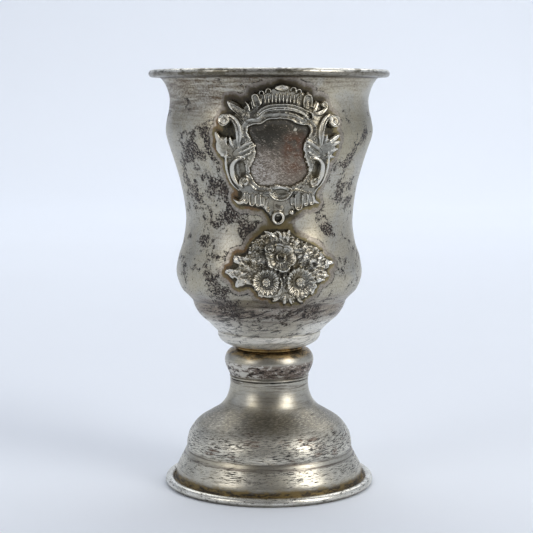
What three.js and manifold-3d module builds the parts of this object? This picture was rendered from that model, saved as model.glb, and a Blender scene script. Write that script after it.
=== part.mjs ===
// A small communion chalice: a spun baluster bowl with two soldered ornaments, screwed to a
// domed foot with a knop.  Millimetres, +Z up, origin on the table at the centre of the foot.
// The ornaments face -Y.
import * as THREE from "three";
import { mergeVertices } from "three/addons/utils/BufferGeometryUtils.js";
import Module from "manifold-3d";

const wasm = await Module();
wasm.setup();

// ---- driving dimensions -------------------------------------------------------------------
const HEIGHT = 125.5; // table to the top of the lip
const LIP_R = 36.1; // outside of the lip ring
const RING_R = 31.85; // outside of the foot ring
const WALL = 0.8; // spun sheet
const SOLDER = 0.1; // film between two soldered pieces
const ORNAMENT_GAP = 0.3; // solder behind a cast ornament
const PLATE_T = 0.8; // sheet of an ornament, under its relief
const NECK_R = 11.95; // outside of the foot's neck
const KNOP_TOP = 41.4;
const KNOP_BOTTOM = 32.5;
const BOWL_FLOOR_Z = 45.3; // underside of the bowl
const BASE_FLOOR = 0.9; // floor of the cup under the bowl

// The screw that joins bowl and foot, an M6 coarse thread.
const TURNS = 8; // turns that unscrew the bowl, with one thread still engaged
const PITCH = 1;
const STUD_R = 3;
const BORE_R = 3.1;
const SEAT_R = 10.3; // bush flange and seat washer
const BUSH_FLANGE = 0.6;
const SEAT_WASHER_T = 0.45;
const SEAT_PLAY = 0.03; // between the washer and what it seats on

const SEGMENTS = 40; // round the spun pieces
const STUD_SEGMENTS = 20;

// Heights in the stack, from the knop up.
const BUSH_TOP = KNOP_TOP + SOLDER + BUSH_FLANGE;
const SEAT_WASHER_Z = BUSH_TOP + SEAT_PLAY;
const BASE_Z = SEAT_WASHER_Z + SEAT_WASHER_T + SEAT_PLAY;
const STUD_HEAD_Z = BASE_Z + BASE_FLOOR + SOLDER;

// ---- materials ----------------------------------------------------------------------------
const metal = (color, roughness) => new THREE.MeshStandardMaterial({ color, roughness, metalness: 1 });
const BOWL_SILVER = metal(0x9d968c, 0.38);
const FOOT_SILVER = metal(0xa39d92, 0.33);
const RING_SILVER = metal(0xb5b0a4, 0.3);
const CAST_SILVER = metal(0xa9a59b, 0.36);
const BRASS = metal(0xa07c45, 0.4);
const STEEL = metal(0x8d8d8a, 0.45);

// ---- outlines, as points of radius and height ---------------------------------------------
const point = ([r, z]) => new THREE.Vector2(r, z);

// A smooth curve through a few points, cut into a given number of steps.
const smooth = (knots, steps) => new THREE.SplineCurve(knots.map(point)).getPoints(steps);

// An arc by centre, radius and angles in degrees.
function arc(r, z, radius, from, to, steps) {
  const turn = Math.PI / 180;
  const curve = new THREE.EllipseCurve(r, z, radius, radius, from * turn, to * turn, to < from);
  return curve.getPoints(steps);
}

// An outline moved sideways by a distance, to the left of its direction of travel.
function offset(outline, distance) {
  return outline.map((p, i) => {
    const before = outline[Math.max(i - 1, 0)];
    const after = outline[Math.min(i + 1, outline.length - 1)];
    const along = after.clone().sub(before).normalize();
    return new THREE.Vector2(p.x - along.y * distance, p.y + along.x * distance);
  });
}

// Turns a closed section about +Z.
function turned(section, segments = SEGMENTS) {
  const loop = [...section, section[0].clone()];
  const area = loop.slice(1).reduce((sum, p, i) => sum + loop[i].x * p.y - p.x * loop[i].y, 0);
  if (area < 0) loop.reverse();
  return new THREE.LatheGeometry(loop, segments).rotateX(Math.PI / 2);
}

// A flat ring from z up.
function washer(inner, outer, z, thickness) {
  const section = [[inner, z], [outer, z], [outer, z + thickness], [inner, z + thickness]];
  return turned(section.map(point));
}

// ---- solids -------------------------------------------------------------------------------
function solid(geometry) {
  const bare = geometry.index ? geometry.toNonIndexed() : geometry.clone();
  bare.deleteAttribute("normal");
  bare.deleteAttribute("uv");
  const merged = mergeVertices(bare, 1e-4);
  const mesh = new wasm.Mesh({
    numProp: 3,
    vertProperties: merged.attributes.position.array,
    triVerts: new Uint32Array(merged.index.array),
  });
  return new wasm.Manifold(mesh);
}

function geometryOf(manifold) {
  const mesh = manifold.getMesh();
  const geometry = new THREE.BufferGeometry();
  geometry.setAttribute("position", new THREE.BufferAttribute(mesh.vertProperties, 3));
  geometry.setIndex(new THREE.BufferAttribute(mesh.triVerts, 1));
  return geometry;
}

// ---- bowl ---------------------------------------------------------------------------------
// A crease under the belly splits the side in two.
const BOWL_CREASE = [23.4, 56.7];
const LOWER_SIDE = [[14.4, 46.4], [16.1, 47.4], [18.4, 49.7], [20.9, 51.9], [22.5, 54.2], BOWL_CREASE];
const UPPER_SIDE = [
  BOWL_CREASE,
  [24.9, 58.3],
  [26.5, 60],
  [27.75, 62.9],
  [28.1, 65.7],
  [27.4, 69.9],
  [26.05, 74.2],
  [25.15, 80.5],
  [25.9, 88],
  [27.6, 95.2],
  [29.6, 101.8],
  [30.75, 105.5],
  [31.02, 107.9],
  [30.65, 110.7],
  [29.95, 113.6],
  [29.75, 116.6],
  [30.2, 119],
  [31.05, 121.2],
  [32.1, 122.8],
];
const LIP_EDGE_R = 33.35; // where the flared sheet meets the lip ring
const LIP_UNDER_Z = 123.55;
const LIP_TOP_Z = HEIGHT - SOLDER;
const BOWL_SIDE = [...smooth(LOWER_SIDE, 6), ...smooth(UPPER_SIDE, 20).slice(1)];

function bowl() {
  const floor = [[0, BOWL_FLOOR_Z], [9.5, BOWL_FLOOR_Z]].map(point);
  const lip = [
    [LIP_EDGE_R, LIP_UNDER_Z],
    [LIP_EDGE_R, LIP_TOP_Z],
    [LIP_EDGE_R - WALL, LIP_TOP_Z],
    [31.5, 123.7],
  ].map(point);
  const outside = [...floor, ...BOWL_SIDE];
  const inside = offset(outside, WALL)
    .filter((p, i) => i < 4 || i % 2 === 0)
    .slice(0, -1)
    .reverse();
  return turned([...outside, ...lip, ...inside]);
}

// The outer radius of the bowl at a height. Past the top it goes on as the flare does.
function bowlRadius(z) {
  const found = BOWL_SIDE.findIndex((p) => p.y >= z);
  const above = found > 0 ? found : BOWL_SIDE.length - 1;
  const [a, b] = [BOWL_SIDE[above - 1], BOWL_SIDE[above]];
  return a.x + ((b.x - a.x) * (z - a.y)) / (b.y - a.y);
}

// Wire with a rounded edge, soldered round the mouth.
function lipRing() {
  const half = 1.1;
  const inside = LIP_EDGE_R + SOLDER;
  const nose = arc(LIP_R - half, HEIGHT - half, half, -90, 90, 7);
  const back = [[inside, HEIGHT], [inside, HEIGHT - 2 * half]].map(point);
  return turned([...nose, ...back]);
}

// Shallow cup soldered under the bowl. It carries the stud.
function bowlBase() {
  const side = [[11, BASE_Z], [12.9, BASE_Z + 0.4], [14.6, 44.1], [15.5, 45.4], [15.7, 46.8]];
  const inside = [
    [14.8, 46.4],
    [14.65, 45.4],
    [13.6, 44.3],
    [11.6, BASE_Z + BASE_FLOOR],
    [STUD_R + 0.2, BASE_Z + BASE_FLOOR],
    [STUD_R + 0.2, BASE_Z],
  ].map(point);
  return turned([...smooth(side, 7), ...inside]);
}

// ---- screw joint --------------------------------------------------------------------------
const STUD_HEAD_R = 8;
const STUD_HEAD_T = 1.4;
const STUD_CHAMFER = 0.6;
const STUD_END_Z = BUSH_TOP - (TURNS + 1) * PITCH;
const BUSH_R = 5.9;
const BUSH_END_Z = 31.5;
const KNOP_HOLE_R = BUSH_R + 0.2;
const NUT_FLATS = 17;
const NUT_T = 3.5;
const LOCK_WASHER_T = 0.7;
const LOCK_WASHER_Z = KNOP_TOP - WALL - SOLDER - LOCK_WASHER_T;

function threadedStud() {
  const section = [
    [0, STUD_END_Z],
    [STUD_R - STUD_CHAMFER, STUD_END_Z],
    [STUD_R, STUD_END_Z + STUD_CHAMFER],
    [STUD_R, STUD_HEAD_Z],
    [STUD_HEAD_R, STUD_HEAD_Z],
    [STUD_HEAD_R, STUD_HEAD_Z + STUD_HEAD_T],
    [0, STUD_HEAD_Z + STUD_HEAD_T],
  ];
  return turned(section.map(point), STUD_SEGMENTS);
}

function threadedBush() {
  const section = [
    [BORE_R, BUSH_END_Z],
    [BUSH_R - 0.4, BUSH_END_Z],
    [BUSH_R, BUSH_END_Z + 0.4],
    [BUSH_R, BUSH_TOP - BUSH_FLANGE],
    [SEAT_R, BUSH_TOP - BUSH_FLANGE],
    [SEAT_R, BUSH_TOP],
    [BORE_R, BUSH_TOP],
  ];
  return turned(section.map(point));
}

function bushNut() {
  const corner = NUT_FLATS / Math.sqrt(3);
  const corners = [0, 1, 2, 3, 4, 5].map((i) => {
    const angle = (i * Math.PI) / 3;
    return new THREE.Vector2(corner * Math.cos(angle), corner * Math.sin(angle));
  });
  const shape = new THREE.Shape(corners);
  shape.holes.push(new THREE.Path().absarc(0, 0, BUSH_R + 0.1, 0, 2 * Math.PI, true));
  const options = { depth: NUT_T, bevelEnabled: false, curveSegments: SEGMENTS / 2 };
  return new THREE.ExtrudeGeometry(shape, options).translate(0, 0, LOCK_WASHER_Z - SOLDER - NUT_T);
}

// ---- foot ---------------------------------------------------------------------------------
const SLEEVE_R = 11.1; // end of the neck, inside the knop
const SLEEVE_TOP = 35;
const DOME = [
  [NECK_R, 32],
  [NECK_R, 30.3],
  [12.35, 28],
  [13.5, 25.3],
  [15.6, 23],
  [18.9, 20.95],
  [22, 18.9],
  [24.3, 15.9],
  [25.15, 13.2],
  [25.3, 10.9],
];
const FLARE = [[25.3, 10.9], [25.9, 9.5], [27.1, 7.2], [28.2, 5], [28.5, 3.4]];
const FLANGE_Z = 1.5; // top of the flange that carries the foot ring
const RING_WIRE_R = 1.3;

// Spun cap over the end of the neck, open below, with the screw's hole in its top.
function knop() {
  const upper = [[11, KNOP_TOP], [12.2, 40.85], [13.15, 39.6], [13.55, 38]];
  const lower = [[13.2, 36.2], [12.4, 34.3], [NECK_R, 33.4]];
  const bead = arc(NECK_R - 0.25, KNOP_BOTTOM + 0.4, 0.4, 80, -90, 4);
  const outside = [point([KNOP_HOLE_R, KNOP_TOP]), ...smooth([...upper, ...lower], 9), ...bead];
  const inside = [
    [SLEEVE_R + SOLDER, KNOP_BOTTOM],
    [SLEEVE_R + SOLDER, 33.8],
    [12.3, 36.4],
    [12.7, 38],
    [12.3, 39.3],
    [11, KNOP_TOP - WALL],
    [KNOP_HOLE_R, KNOP_TOP - WALL],
  ].map(point);
  return turned([...outside, ...inside]);
}

function foot() {
  const sleeve = [[SLEEVE_R - WALL, SLEEVE_TOP], [SLEEVE_R, SLEEVE_TOP], [SLEEVE_R, 32.3]].map(point);
  const outside = [...smooth(DOME, 13), ...smooth(FLARE, 4).slice(1)];
  const [edge] = outside.slice(-1);
  const flangeR = RING_R - 2 * RING_WIRE_R - SOLDER;
  const flange = [
    [edge.x, FLANGE_Z],
    [flangeR, FLANGE_Z],
    [flangeR, FLANGE_Z - WALL],
    [edge.x - WALL, FLANGE_Z - WALL],
  ].map(point);
  const inside = offset(outside, -WALL)
    .filter((p, i) => i % 2 === 0)
    .reverse();
  return turned([...sleeve, ...outside, ...flange, ...inside]);
}

// Half-hard wire soldered round the flange, filed flat where it stands on the table.
function footRing() {
  const flatHalf = 30; // degrees each side of straight down
  const centreZ = RING_WIRE_R * Math.cos((flatHalf * Math.PI) / 180);
  return turned(arc(RING_R - RING_WIRE_R, centreZ, RING_WIRE_R, flatHalf - 90, 270 - flatHalf, 9));
}

// ---- ornaments ----------------------------------------------------------------------------
// Ornaments are drawn flat, u across and v up (v is the height above the table), then
// wrapped on the bowl.
const WRAP_R = 30; // bowl radius at which u is true to length

function wrapped(u, v, lift) {
  const angle = u / WRAP_R;
  const r = bowlRadius(v) + lift;
  return new THREE.Vector3(r * Math.sin(angle), -r * Math.cos(angle), v);
}

// Everything inside the bowl's outer face moved out by a distance, between two heights.
function bowlPlug(distance, low, high) {
  const steps = Math.round((high - low) / 3);
  const side = Array.from({ length: steps + 1 }, (_, i) => {
    const z = low + ((high - low) * i) / steps;
    return new THREE.Vector2(bowlRadius(z) + distance, z);
  });
  return solid(turned([new THREE.Vector2(0, low), ...side, new THREE.Vector2(0, high)]));
}

// A flat outline pushed through the front of the bowl.
function prism(outline, hole) {
  const flat = ([u, v]) => new THREE.Vector2(WRAP_R * Math.sin(u / WRAP_R), v);
  const shape = new THREE.Shape(outline.map(flat));
  if (hole) shape.holes.push(new THREE.Path(hole.map(flat)));
  const geometry = new THREE.ExtrudeGeometry(shape, { depth: 30, bevelEnabled: false });
  return solid(geometry.rotateX(Math.PI / 2).translate(0, -10, 0));
}

// A round moulding along a line on the bowl.
function moulding(knots, radius, steps) {
  const lift = ORNAMENT_GAP + PLATE_T;
  const path = new THREE.CatmullRomCurve3(knots.map(([u, v]) => wrapped(u, v, lift)));
  const circle = new THREE.Shape().absarc(0, 0, radius, 0, 2 * Math.PI);
  const options = { steps, extrudePath: path, bevelEnabled: false, curveSegments: 4 };
  return solid(new THREE.ExtrudeGeometry(circle, options));
}

// An oval boss standing on the bowl, turned by an angle in degrees.
function boss([u, v], [halfU, halfV, height], turn = 0) {
  const geometry = new THREE.SphereGeometry(1, 8, 6).scale(halfU, height, halfV);
  geometry.rotateY((turn * Math.PI) / 180).rotateZ(u / WRAP_R);
  const at = wrapped(u, v, ORNAMENT_GAP);
  return solid(geometry.translate(at.x, at.y, at.z));
}

// A plate on the bowl with raised pieces on it, as one body.
function ornament(outline, hole, relief) {
  const heights = outline.map(([, v]) => v);
  const low = Math.min(...heights) - 1;
  const high = Math.max(...heights) + 1;
  const plate = bowlPlug(ORNAMENT_GAP + PLATE_T, low, high).intersect(prism(outline, hole));
  const raised = relief.reduce((sum, part) => sum.add(part), plate);
  return geometryOf(raised.subtract(bowlPlug(ORNAMENT_GAP, low - 2, high + 1)));
}

// The right half of an outline and its mirror image, anticlockwise from the bottom.
const bothHalves = (half) => [...half, ...half.slice(1, -1).reverse().map(([u, v]) => [-u, v])];

// Rococo frame round an open shield: a shell crest, a scroll each side over another, and a
// shell with a ring below.
function cartouche() {
  const outline = bothHalves([
    [0, 81.4], [2, 82.1], [2.4, 84], [5.6, 84.4], [8.4, 85.8], [14, 87.3], [12.4, 90.4],
    [15.8, 92.8], [16.9, 98], [18.4, 102.6], [18.3, 107.6], [17.6, 110], [17.9, 112.4], [15.4, 114.3],
    [13.6, 116.2], [9.9, 116], [8, 118.6], [5.3, 119.2], [2.2, 121], [0, 121],
  ]);
  const field = bothHalves([
    [0, 92.7], [6.5, 93.3], [9, 97.4], [6.9, 104.2], [8.7, 108.3], [4.6, 110.6], [0, 111.5],
  ]).reverse();
  const relief = [moulding([[-7.6, 111.8], [-4, 114], [0.2, 115.1], [4.4, 114], [8, 111.8]], 0.9, 10)];
  for (const side of [-1, 1]) {
    const flip = (knots) => knots.map(([u, v]) => [side * u, v]);
    relief.push(moulding(flip([[16.4, 111.3], [13.8, 112.3], [12, 109], [12.4, 104.4]]), 0.8, 8));
    relief.push(moulding(flip([[10.6, 100.3], [14.6, 98.8], [14.2, 93.4], [11, 93.6]]), 0.8, 8));
    relief.push(boss([side * 16, 104.6], [2, 3, 1.7], side * 14));
    relief.push(boss([side * 10.4, 102.8], [3.6, 1.3, 1.7], side * -35));
    relief.push(boss([side * 11.4, 115], [2.4, 1, 1.6], side * -25));
  }
  for (const u of [-8.2, -5.6, -3, 0, 3, 5.6, 8.2])
    relief.push(boss([u, 117.7 - 0.03 * u * u], [1, 2, 1.9], -3 * u));
  for (const u of [-11.4, -8.2, 8.2, 11.4]) relief.push(boss([u, 88.2], [1.3, 2, 1.7], 2 * u));
  relief.push(boss([0, 90.4], [4.6, 1.3, 1.8]));
  relief.push(boss([0, 83.9], [2.1, 2.1, 2.1]));
  return ornament(outline, field, relief);
}

// Three blossoms in a spray of leaves.
function flowerSpray() {
  const outline = [
    [2.9, 58.9], [7.1, 59.8], [11.4, 62.4], [15.6, 66.4], [18.1, 69.6], [14.4, 72.6], [9.7, 75.2],
    [5, 77.9], [0.6, 79.8], [-3.6, 79], [-8.2, 75.8], [-13.8, 71.7], [-16.3, 67.2], [-12.7, 63.6],
    [-7.1, 63], [-2.9, 60.3],
  ];
  const relief = [
    boss([1.1, 72.3], [4.2, 4.2, 2.2]),
    boss([-3.6, 65.3], [3.7, 3.7, 2.2]),
    boss([7.2, 64.8], [4.1, 4.1, 2.2]),
    boss([-11.8, 67.6], [3.6, 1.6, 1.7], 10),
    boss([13.4, 69.4], [3.8, 1.6, 1.7], 8),
    boss([-7.1, 72.8], [2.6, 1.8, 1.9], 40),
    boss([8.9, 73.4], [3.2, 1.6, 1.8], -35),
    boss([0.2, 77.6], [1.4, 2, 1.6]),
  ];
  return ornament(outline, null, relief);
}

// ---- assembly -----------------------------------------------------------------------------
function piece(name, geometry, material) {
  const mesh = new THREE.Mesh(geometry, material);
  mesh.name = name;
  return mesh;
}

const chalice = new THREE.Group();
chalice.add(
  piece("foot", foot(), FOOT_SILVER),
  piece("foot_ring", footRing(), RING_SILVER),
  piece("knop", knop(), FOOT_SILVER),
  piece("threaded_bush", threadedBush(), BRASS),
  piece("bush_washer", washer(BUSH_R + 0.2, 10.2, LOCK_WASHER_Z, LOCK_WASHER_T), STEEL),
  piece("bush_nut", bushNut(), BRASS),
  piece("seat_washer", washer(STUD_R + 0.4, SEAT_R, SEAT_WASHER_Z, SEAT_WASHER_T), BRASS),
  piece("threaded_stud", threadedStud(), BRASS),
  piece("bowl_base", bowlBase(), BOWL_SILVER),
  piece("bowl", bowl(), BOWL_SILVER),
  piece("lip_ring", lipRing(), RING_SILVER),
  piece("cartouche", cartouche(), CAST_SILVER),
  piece("flower_spray", flowerSpray(), CAST_SILVER),
);

export default chalice;
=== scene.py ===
"""The looks of a small tarnished communion chalice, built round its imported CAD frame.

Shapes are drawn in millimetres, as in the CAD source, and turned into metres when a mesh is made.
"""
import math

import bpy
import numpy as np
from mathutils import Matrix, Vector


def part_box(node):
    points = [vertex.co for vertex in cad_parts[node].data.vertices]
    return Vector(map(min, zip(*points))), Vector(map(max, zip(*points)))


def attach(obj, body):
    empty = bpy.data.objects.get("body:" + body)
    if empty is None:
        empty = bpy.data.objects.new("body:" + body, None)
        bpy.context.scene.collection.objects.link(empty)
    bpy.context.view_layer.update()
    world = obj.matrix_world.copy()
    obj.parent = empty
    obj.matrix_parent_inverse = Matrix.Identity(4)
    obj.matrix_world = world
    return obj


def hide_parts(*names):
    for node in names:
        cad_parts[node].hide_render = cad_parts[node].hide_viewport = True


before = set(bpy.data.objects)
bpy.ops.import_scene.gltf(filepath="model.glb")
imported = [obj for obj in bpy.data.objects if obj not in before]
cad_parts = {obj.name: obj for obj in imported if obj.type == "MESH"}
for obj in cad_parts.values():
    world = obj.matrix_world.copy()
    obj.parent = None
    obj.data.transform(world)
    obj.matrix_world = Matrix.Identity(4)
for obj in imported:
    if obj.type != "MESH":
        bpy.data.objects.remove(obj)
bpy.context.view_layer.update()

MM = 0.001

# ---- sizes taken from the frame, in millimetres --------------------------------------------


def span(node):
    """Lowest height, highest height and outer radius of a CAD node, in millimetres."""
    low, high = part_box(node)
    return low.z / MM, high.z / MM, high.x / MM


_, HEIGHT, LIP_R = span("lip_ring")
RING_R = span("foot_ring")[2]
KNOP_BOTTOM, KNOP_TOP, _ = span("knop")
BASE_Z = span("bowl_base")[0]
BOWL_FLOOR_Z = span("bowl")[0]
BUSH_BOTTOM, BUSH_TOP, SEAT_R = span("threaded_bush")
STUD_BOTTOM, STUD_TOP, STUD_HEAD_R = span("threaded_stud")
NUT_LOW, NUT_HIGH, NUT_CORNER_R = span("bush_nut")
LOCK_HIGH = span("bush_washer")[1]

WALL = 0.8  # spun sheet
PITCH = 1.0  # of the M6 screw
STUD_R = 3.0
THREAD_DEPTH = 0.6
BORE_R = STUD_R + 0.1  # of the bush, at the roots of its inner thread
BUSH_R = SEAT_R - 4.4  # of the bush's body, under its flange
STUD_HEAD = 1.41  # thickness of the stud's flange
CARTOUCHE_WRAP_R = 31.6  # bowl radius at which the frame's flat width is true
SPRAY_WRAP_R = 27.0  # the same for the flower spray

# ---- outlines, as points of radius and height ----------------------------------------------


def smooth(knots, steps):
    """A Catmull-Rom curve through some points, in a number of even steps of its parameter."""
    p = np.array(knots, float)
    t = np.linspace(0, len(p) - 1, steps + 1)
    i = np.minimum(t.astype(int), len(p) - 2)
    w = (t - i)[:, None]
    before, a, b, after = (p[np.clip(i + k, 0, len(p) - 1)] for k in (-1, 0, 1, 2))
    leave, arrive = (b - before) / 2, (after - a) / 2
    bend = (2 * a - 2 * b + leave + arrive) * w**3 + (3 * b - 3 * a - 2 * leave - arrive) * w**2
    return bend + leave * w + a


def arc(r, z, radius, start, end, steps):
    """An arc by centre, radius and angles in degrees."""
    a = np.radians(np.linspace(start, end, steps + 1))
    return np.stack([r + radius * np.cos(a), z + radius * np.sin(a)], 1)


def normals(outline):
    """Unit vectors square to an outline, on the right of its direction of travel."""
    along = np.gradient(outline, axis=0)
    along /= np.linalg.norm(along, axis=1, keepdims=True)
    return np.stack([along[:, 1], -along[:, 0]], 1)


def joined(*runs):
    """Runs of points as one outline, without the points that two runs share."""
    points = np.concatenate([np.atleast_2d(np.array(run, float)) for run in runs])
    apart = np.linalg.norm(np.diff(points, axis=0), axis=1) > 1e-4
    return points[np.concatenate([[True], apart])]


BOWL_CREASE = (23.4, 56.7)
LOWER_SIDE = [(14.4, 46.4), (16.1, 47.4), (18.4, 49.7), (20.9, 51.9), (22.5, 54.2), BOWL_CREASE]
UPPER_SIDE = [
    BOWL_CREASE, (24.9, 58.3), (26.5, 60), (27.75, 62.9), (28.1, 65.7), (27.4, 69.9), (26.05, 74.2),
    (25.15, 80.5), (25.9, 88), (27.6, 95.2), (29.6, 101.8), (30.75, 105.5), (31.02, 107.9),
    (30.65, 110.7), (29.95, 113.6), (29.75, 116.6), (30.2, 119), (31.05, 121.2), (32.1, 122.8),
]
BOWL_SIDE = joined(smooth(LOWER_SIDE, 34), smooth(UPPER_SIDE, 170))
LIP_EDGE_R = 33.35
LIP_WIRE_R = 1.1

DOME = [
    (11.95, 32), (11.95, 30.3), (12.35, 28), (13.5, 25.3), (15.6, 23), (18.9, 20.95), (22, 18.9),
    (24.3, 15.9), (25.15, 13.2), (25.3, 10.9),
]
FLARE = [(25.3, 10.9), (25.9, 9.5), (27.1, 7.2), (28.2, 5), (28.5, 3.4)]
KNOP = [
    (11, KNOP_TOP), (12.2, 40.85), (13.15, 39.6), (13.55, 38), (13.2, 36.2), (12.4, 34.3),
    (11.95, 33.4),
]
BASE_CUP = [(11, BASE_Z), (12.9, BASE_Z + 0.4), (14.6, 44.1), (15.5, 45.4), (15.7, 46.8)]
FOOT_WIRE_R = 1.3

# ---- meshes --------------------------------------------------------------------------------


def made(name, points, faces, body, nodes, material, sharp=40):
    """A mesh piece from points in millimetres. It rides on a body and replaces CAD nodes."""
    mesh = bpy.data.meshes.new(name)
    mesh.from_pydata((np.asarray(points) * MM).tolist(), [], [tuple(f) for f in faces])
    mesh.validate()
    mesh.shade_smooth()
    mesh.set_sharp_from_angle(angle=math.radians(sharp))
    piece = bpy.data.objects.new(name, mesh)
    bpy.context.scene.collection.objects.link(piece)
    mesh.materials.append(material)
    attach(piece, body)
    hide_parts(*nodes)
    return piece


def even_angles(count):
    return np.linspace(0, 2 * math.pi, count, endpoint=False)


def axis_distance(points):
    return np.hypot(points[:, 0], points[:, 1])


def bearing(points):
    """Angles round the axis, 0 towards -Y."""
    return np.arctan2(points[:, 0], -points[:, 1])


def turned(section, angles):
    """Points and faces of a closed section turned about +Z. Angle 0 faces -Y."""
    section = np.asarray(section, float)
    ahead = np.roll(section, -1, axis=0)
    if np.sum(section[:, 0] * ahead[:, 1] - ahead[:, 0] * section[:, 1]) < 0:
        section = section[::-1]
    rows, columns = len(section), len(angles)
    r, z = section[:, :1], section[:, 1:]
    points = np.stack([r * np.sin(angles), -r * np.cos(angles), z + 0 * angles], -1)
    i, j = np.meshgrid(np.arange(rows), np.arange(columns), indexing="ij")
    i2, j2 = (i + 1) % rows, (j + 1) % columns
    corners = [a * columns + b for a, b in ((i, j), (i, j2), (i2, j2), (i2, j))]
    faces = np.stack(corners, -1).reshape(-1, 4)
    points = points.reshape(-1, 3)
    return without_doubles(points, faces)


def without_doubles(points, faces):
    """Merges points on the axis, where a turned section closes."""
    on_axis = axis_distance(points) < 1e-6
    if not on_axis.any():
        return points, faces
    keys = np.where(on_axis, np.round(points[:, 2] * 1e4), np.nan)
    target = np.arange(len(points))
    for key in np.unique(keys[on_axis]):
        same = np.flatnonzero(keys == key)
        target[same] = same[0]
    faces = target[faces]
    clean = []
    for face in faces:
        ring = [p for k, p in enumerate(face) if p != face[k - 1]]
        if len(ring) > 2:
            clean.append(ring)
    return points, clean


def ripple(points, scale, seed):
    """Smooth wandering values, about -1 to 1, with features of a given size in millimetres."""
    waves = 14
    rng = np.random.default_rng(seed)
    way = rng.normal(size=(waves, 3))
    pace = rng.uniform(0.6, 1.5, (waves, 1))
    way *= (2 * math.pi / scale) * pace / np.linalg.norm(way, axis=1, keepdims=True)
    phase = rng.uniform(0, 2 * math.pi, waves)
    return np.sin(points @ way.T + phase).sum(1) / math.sqrt(waves)


def dented(points, depth, scale, seed):
    """Moves points in and out from the axis by a soft, handmade unevenness."""
    push = depth * ripple(points, scale, seed)
    r = np.maximum(axis_distance(points), 1e-6)
    moved = points.copy()
    moved[:, :2] *= ((r + push) / r)[:, None]
    return moved


def attribute(piece, name, values):
    layer = piece.data.attributes.new(name, "FLOAT", "POINT")
    layer.data.foreach_set("value", np.asarray(values, np.float32))


def vertex_points(piece):
    """The vertices of a piece, in millimetres."""
    co = np.zeros(len(piece.data.vertices) * 3, np.float32)
    piece.data.vertices.foreach_get("co", co)
    return co.reshape(-1, 3).astype(float) / MM


# ---- relief of the cast ornaments ----------------------------------------------------------
# An ornament is a height over the bowl's surface on a flat grid, u across and v up, where v
# is the height above the table. Its edges fall steeply, as a cast piece's do.
CLIFF = 3.6  # slope of a casting's edges
REACH = 6.0  # how far round an ornament the bowl's surface is marked, in millimetres


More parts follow.
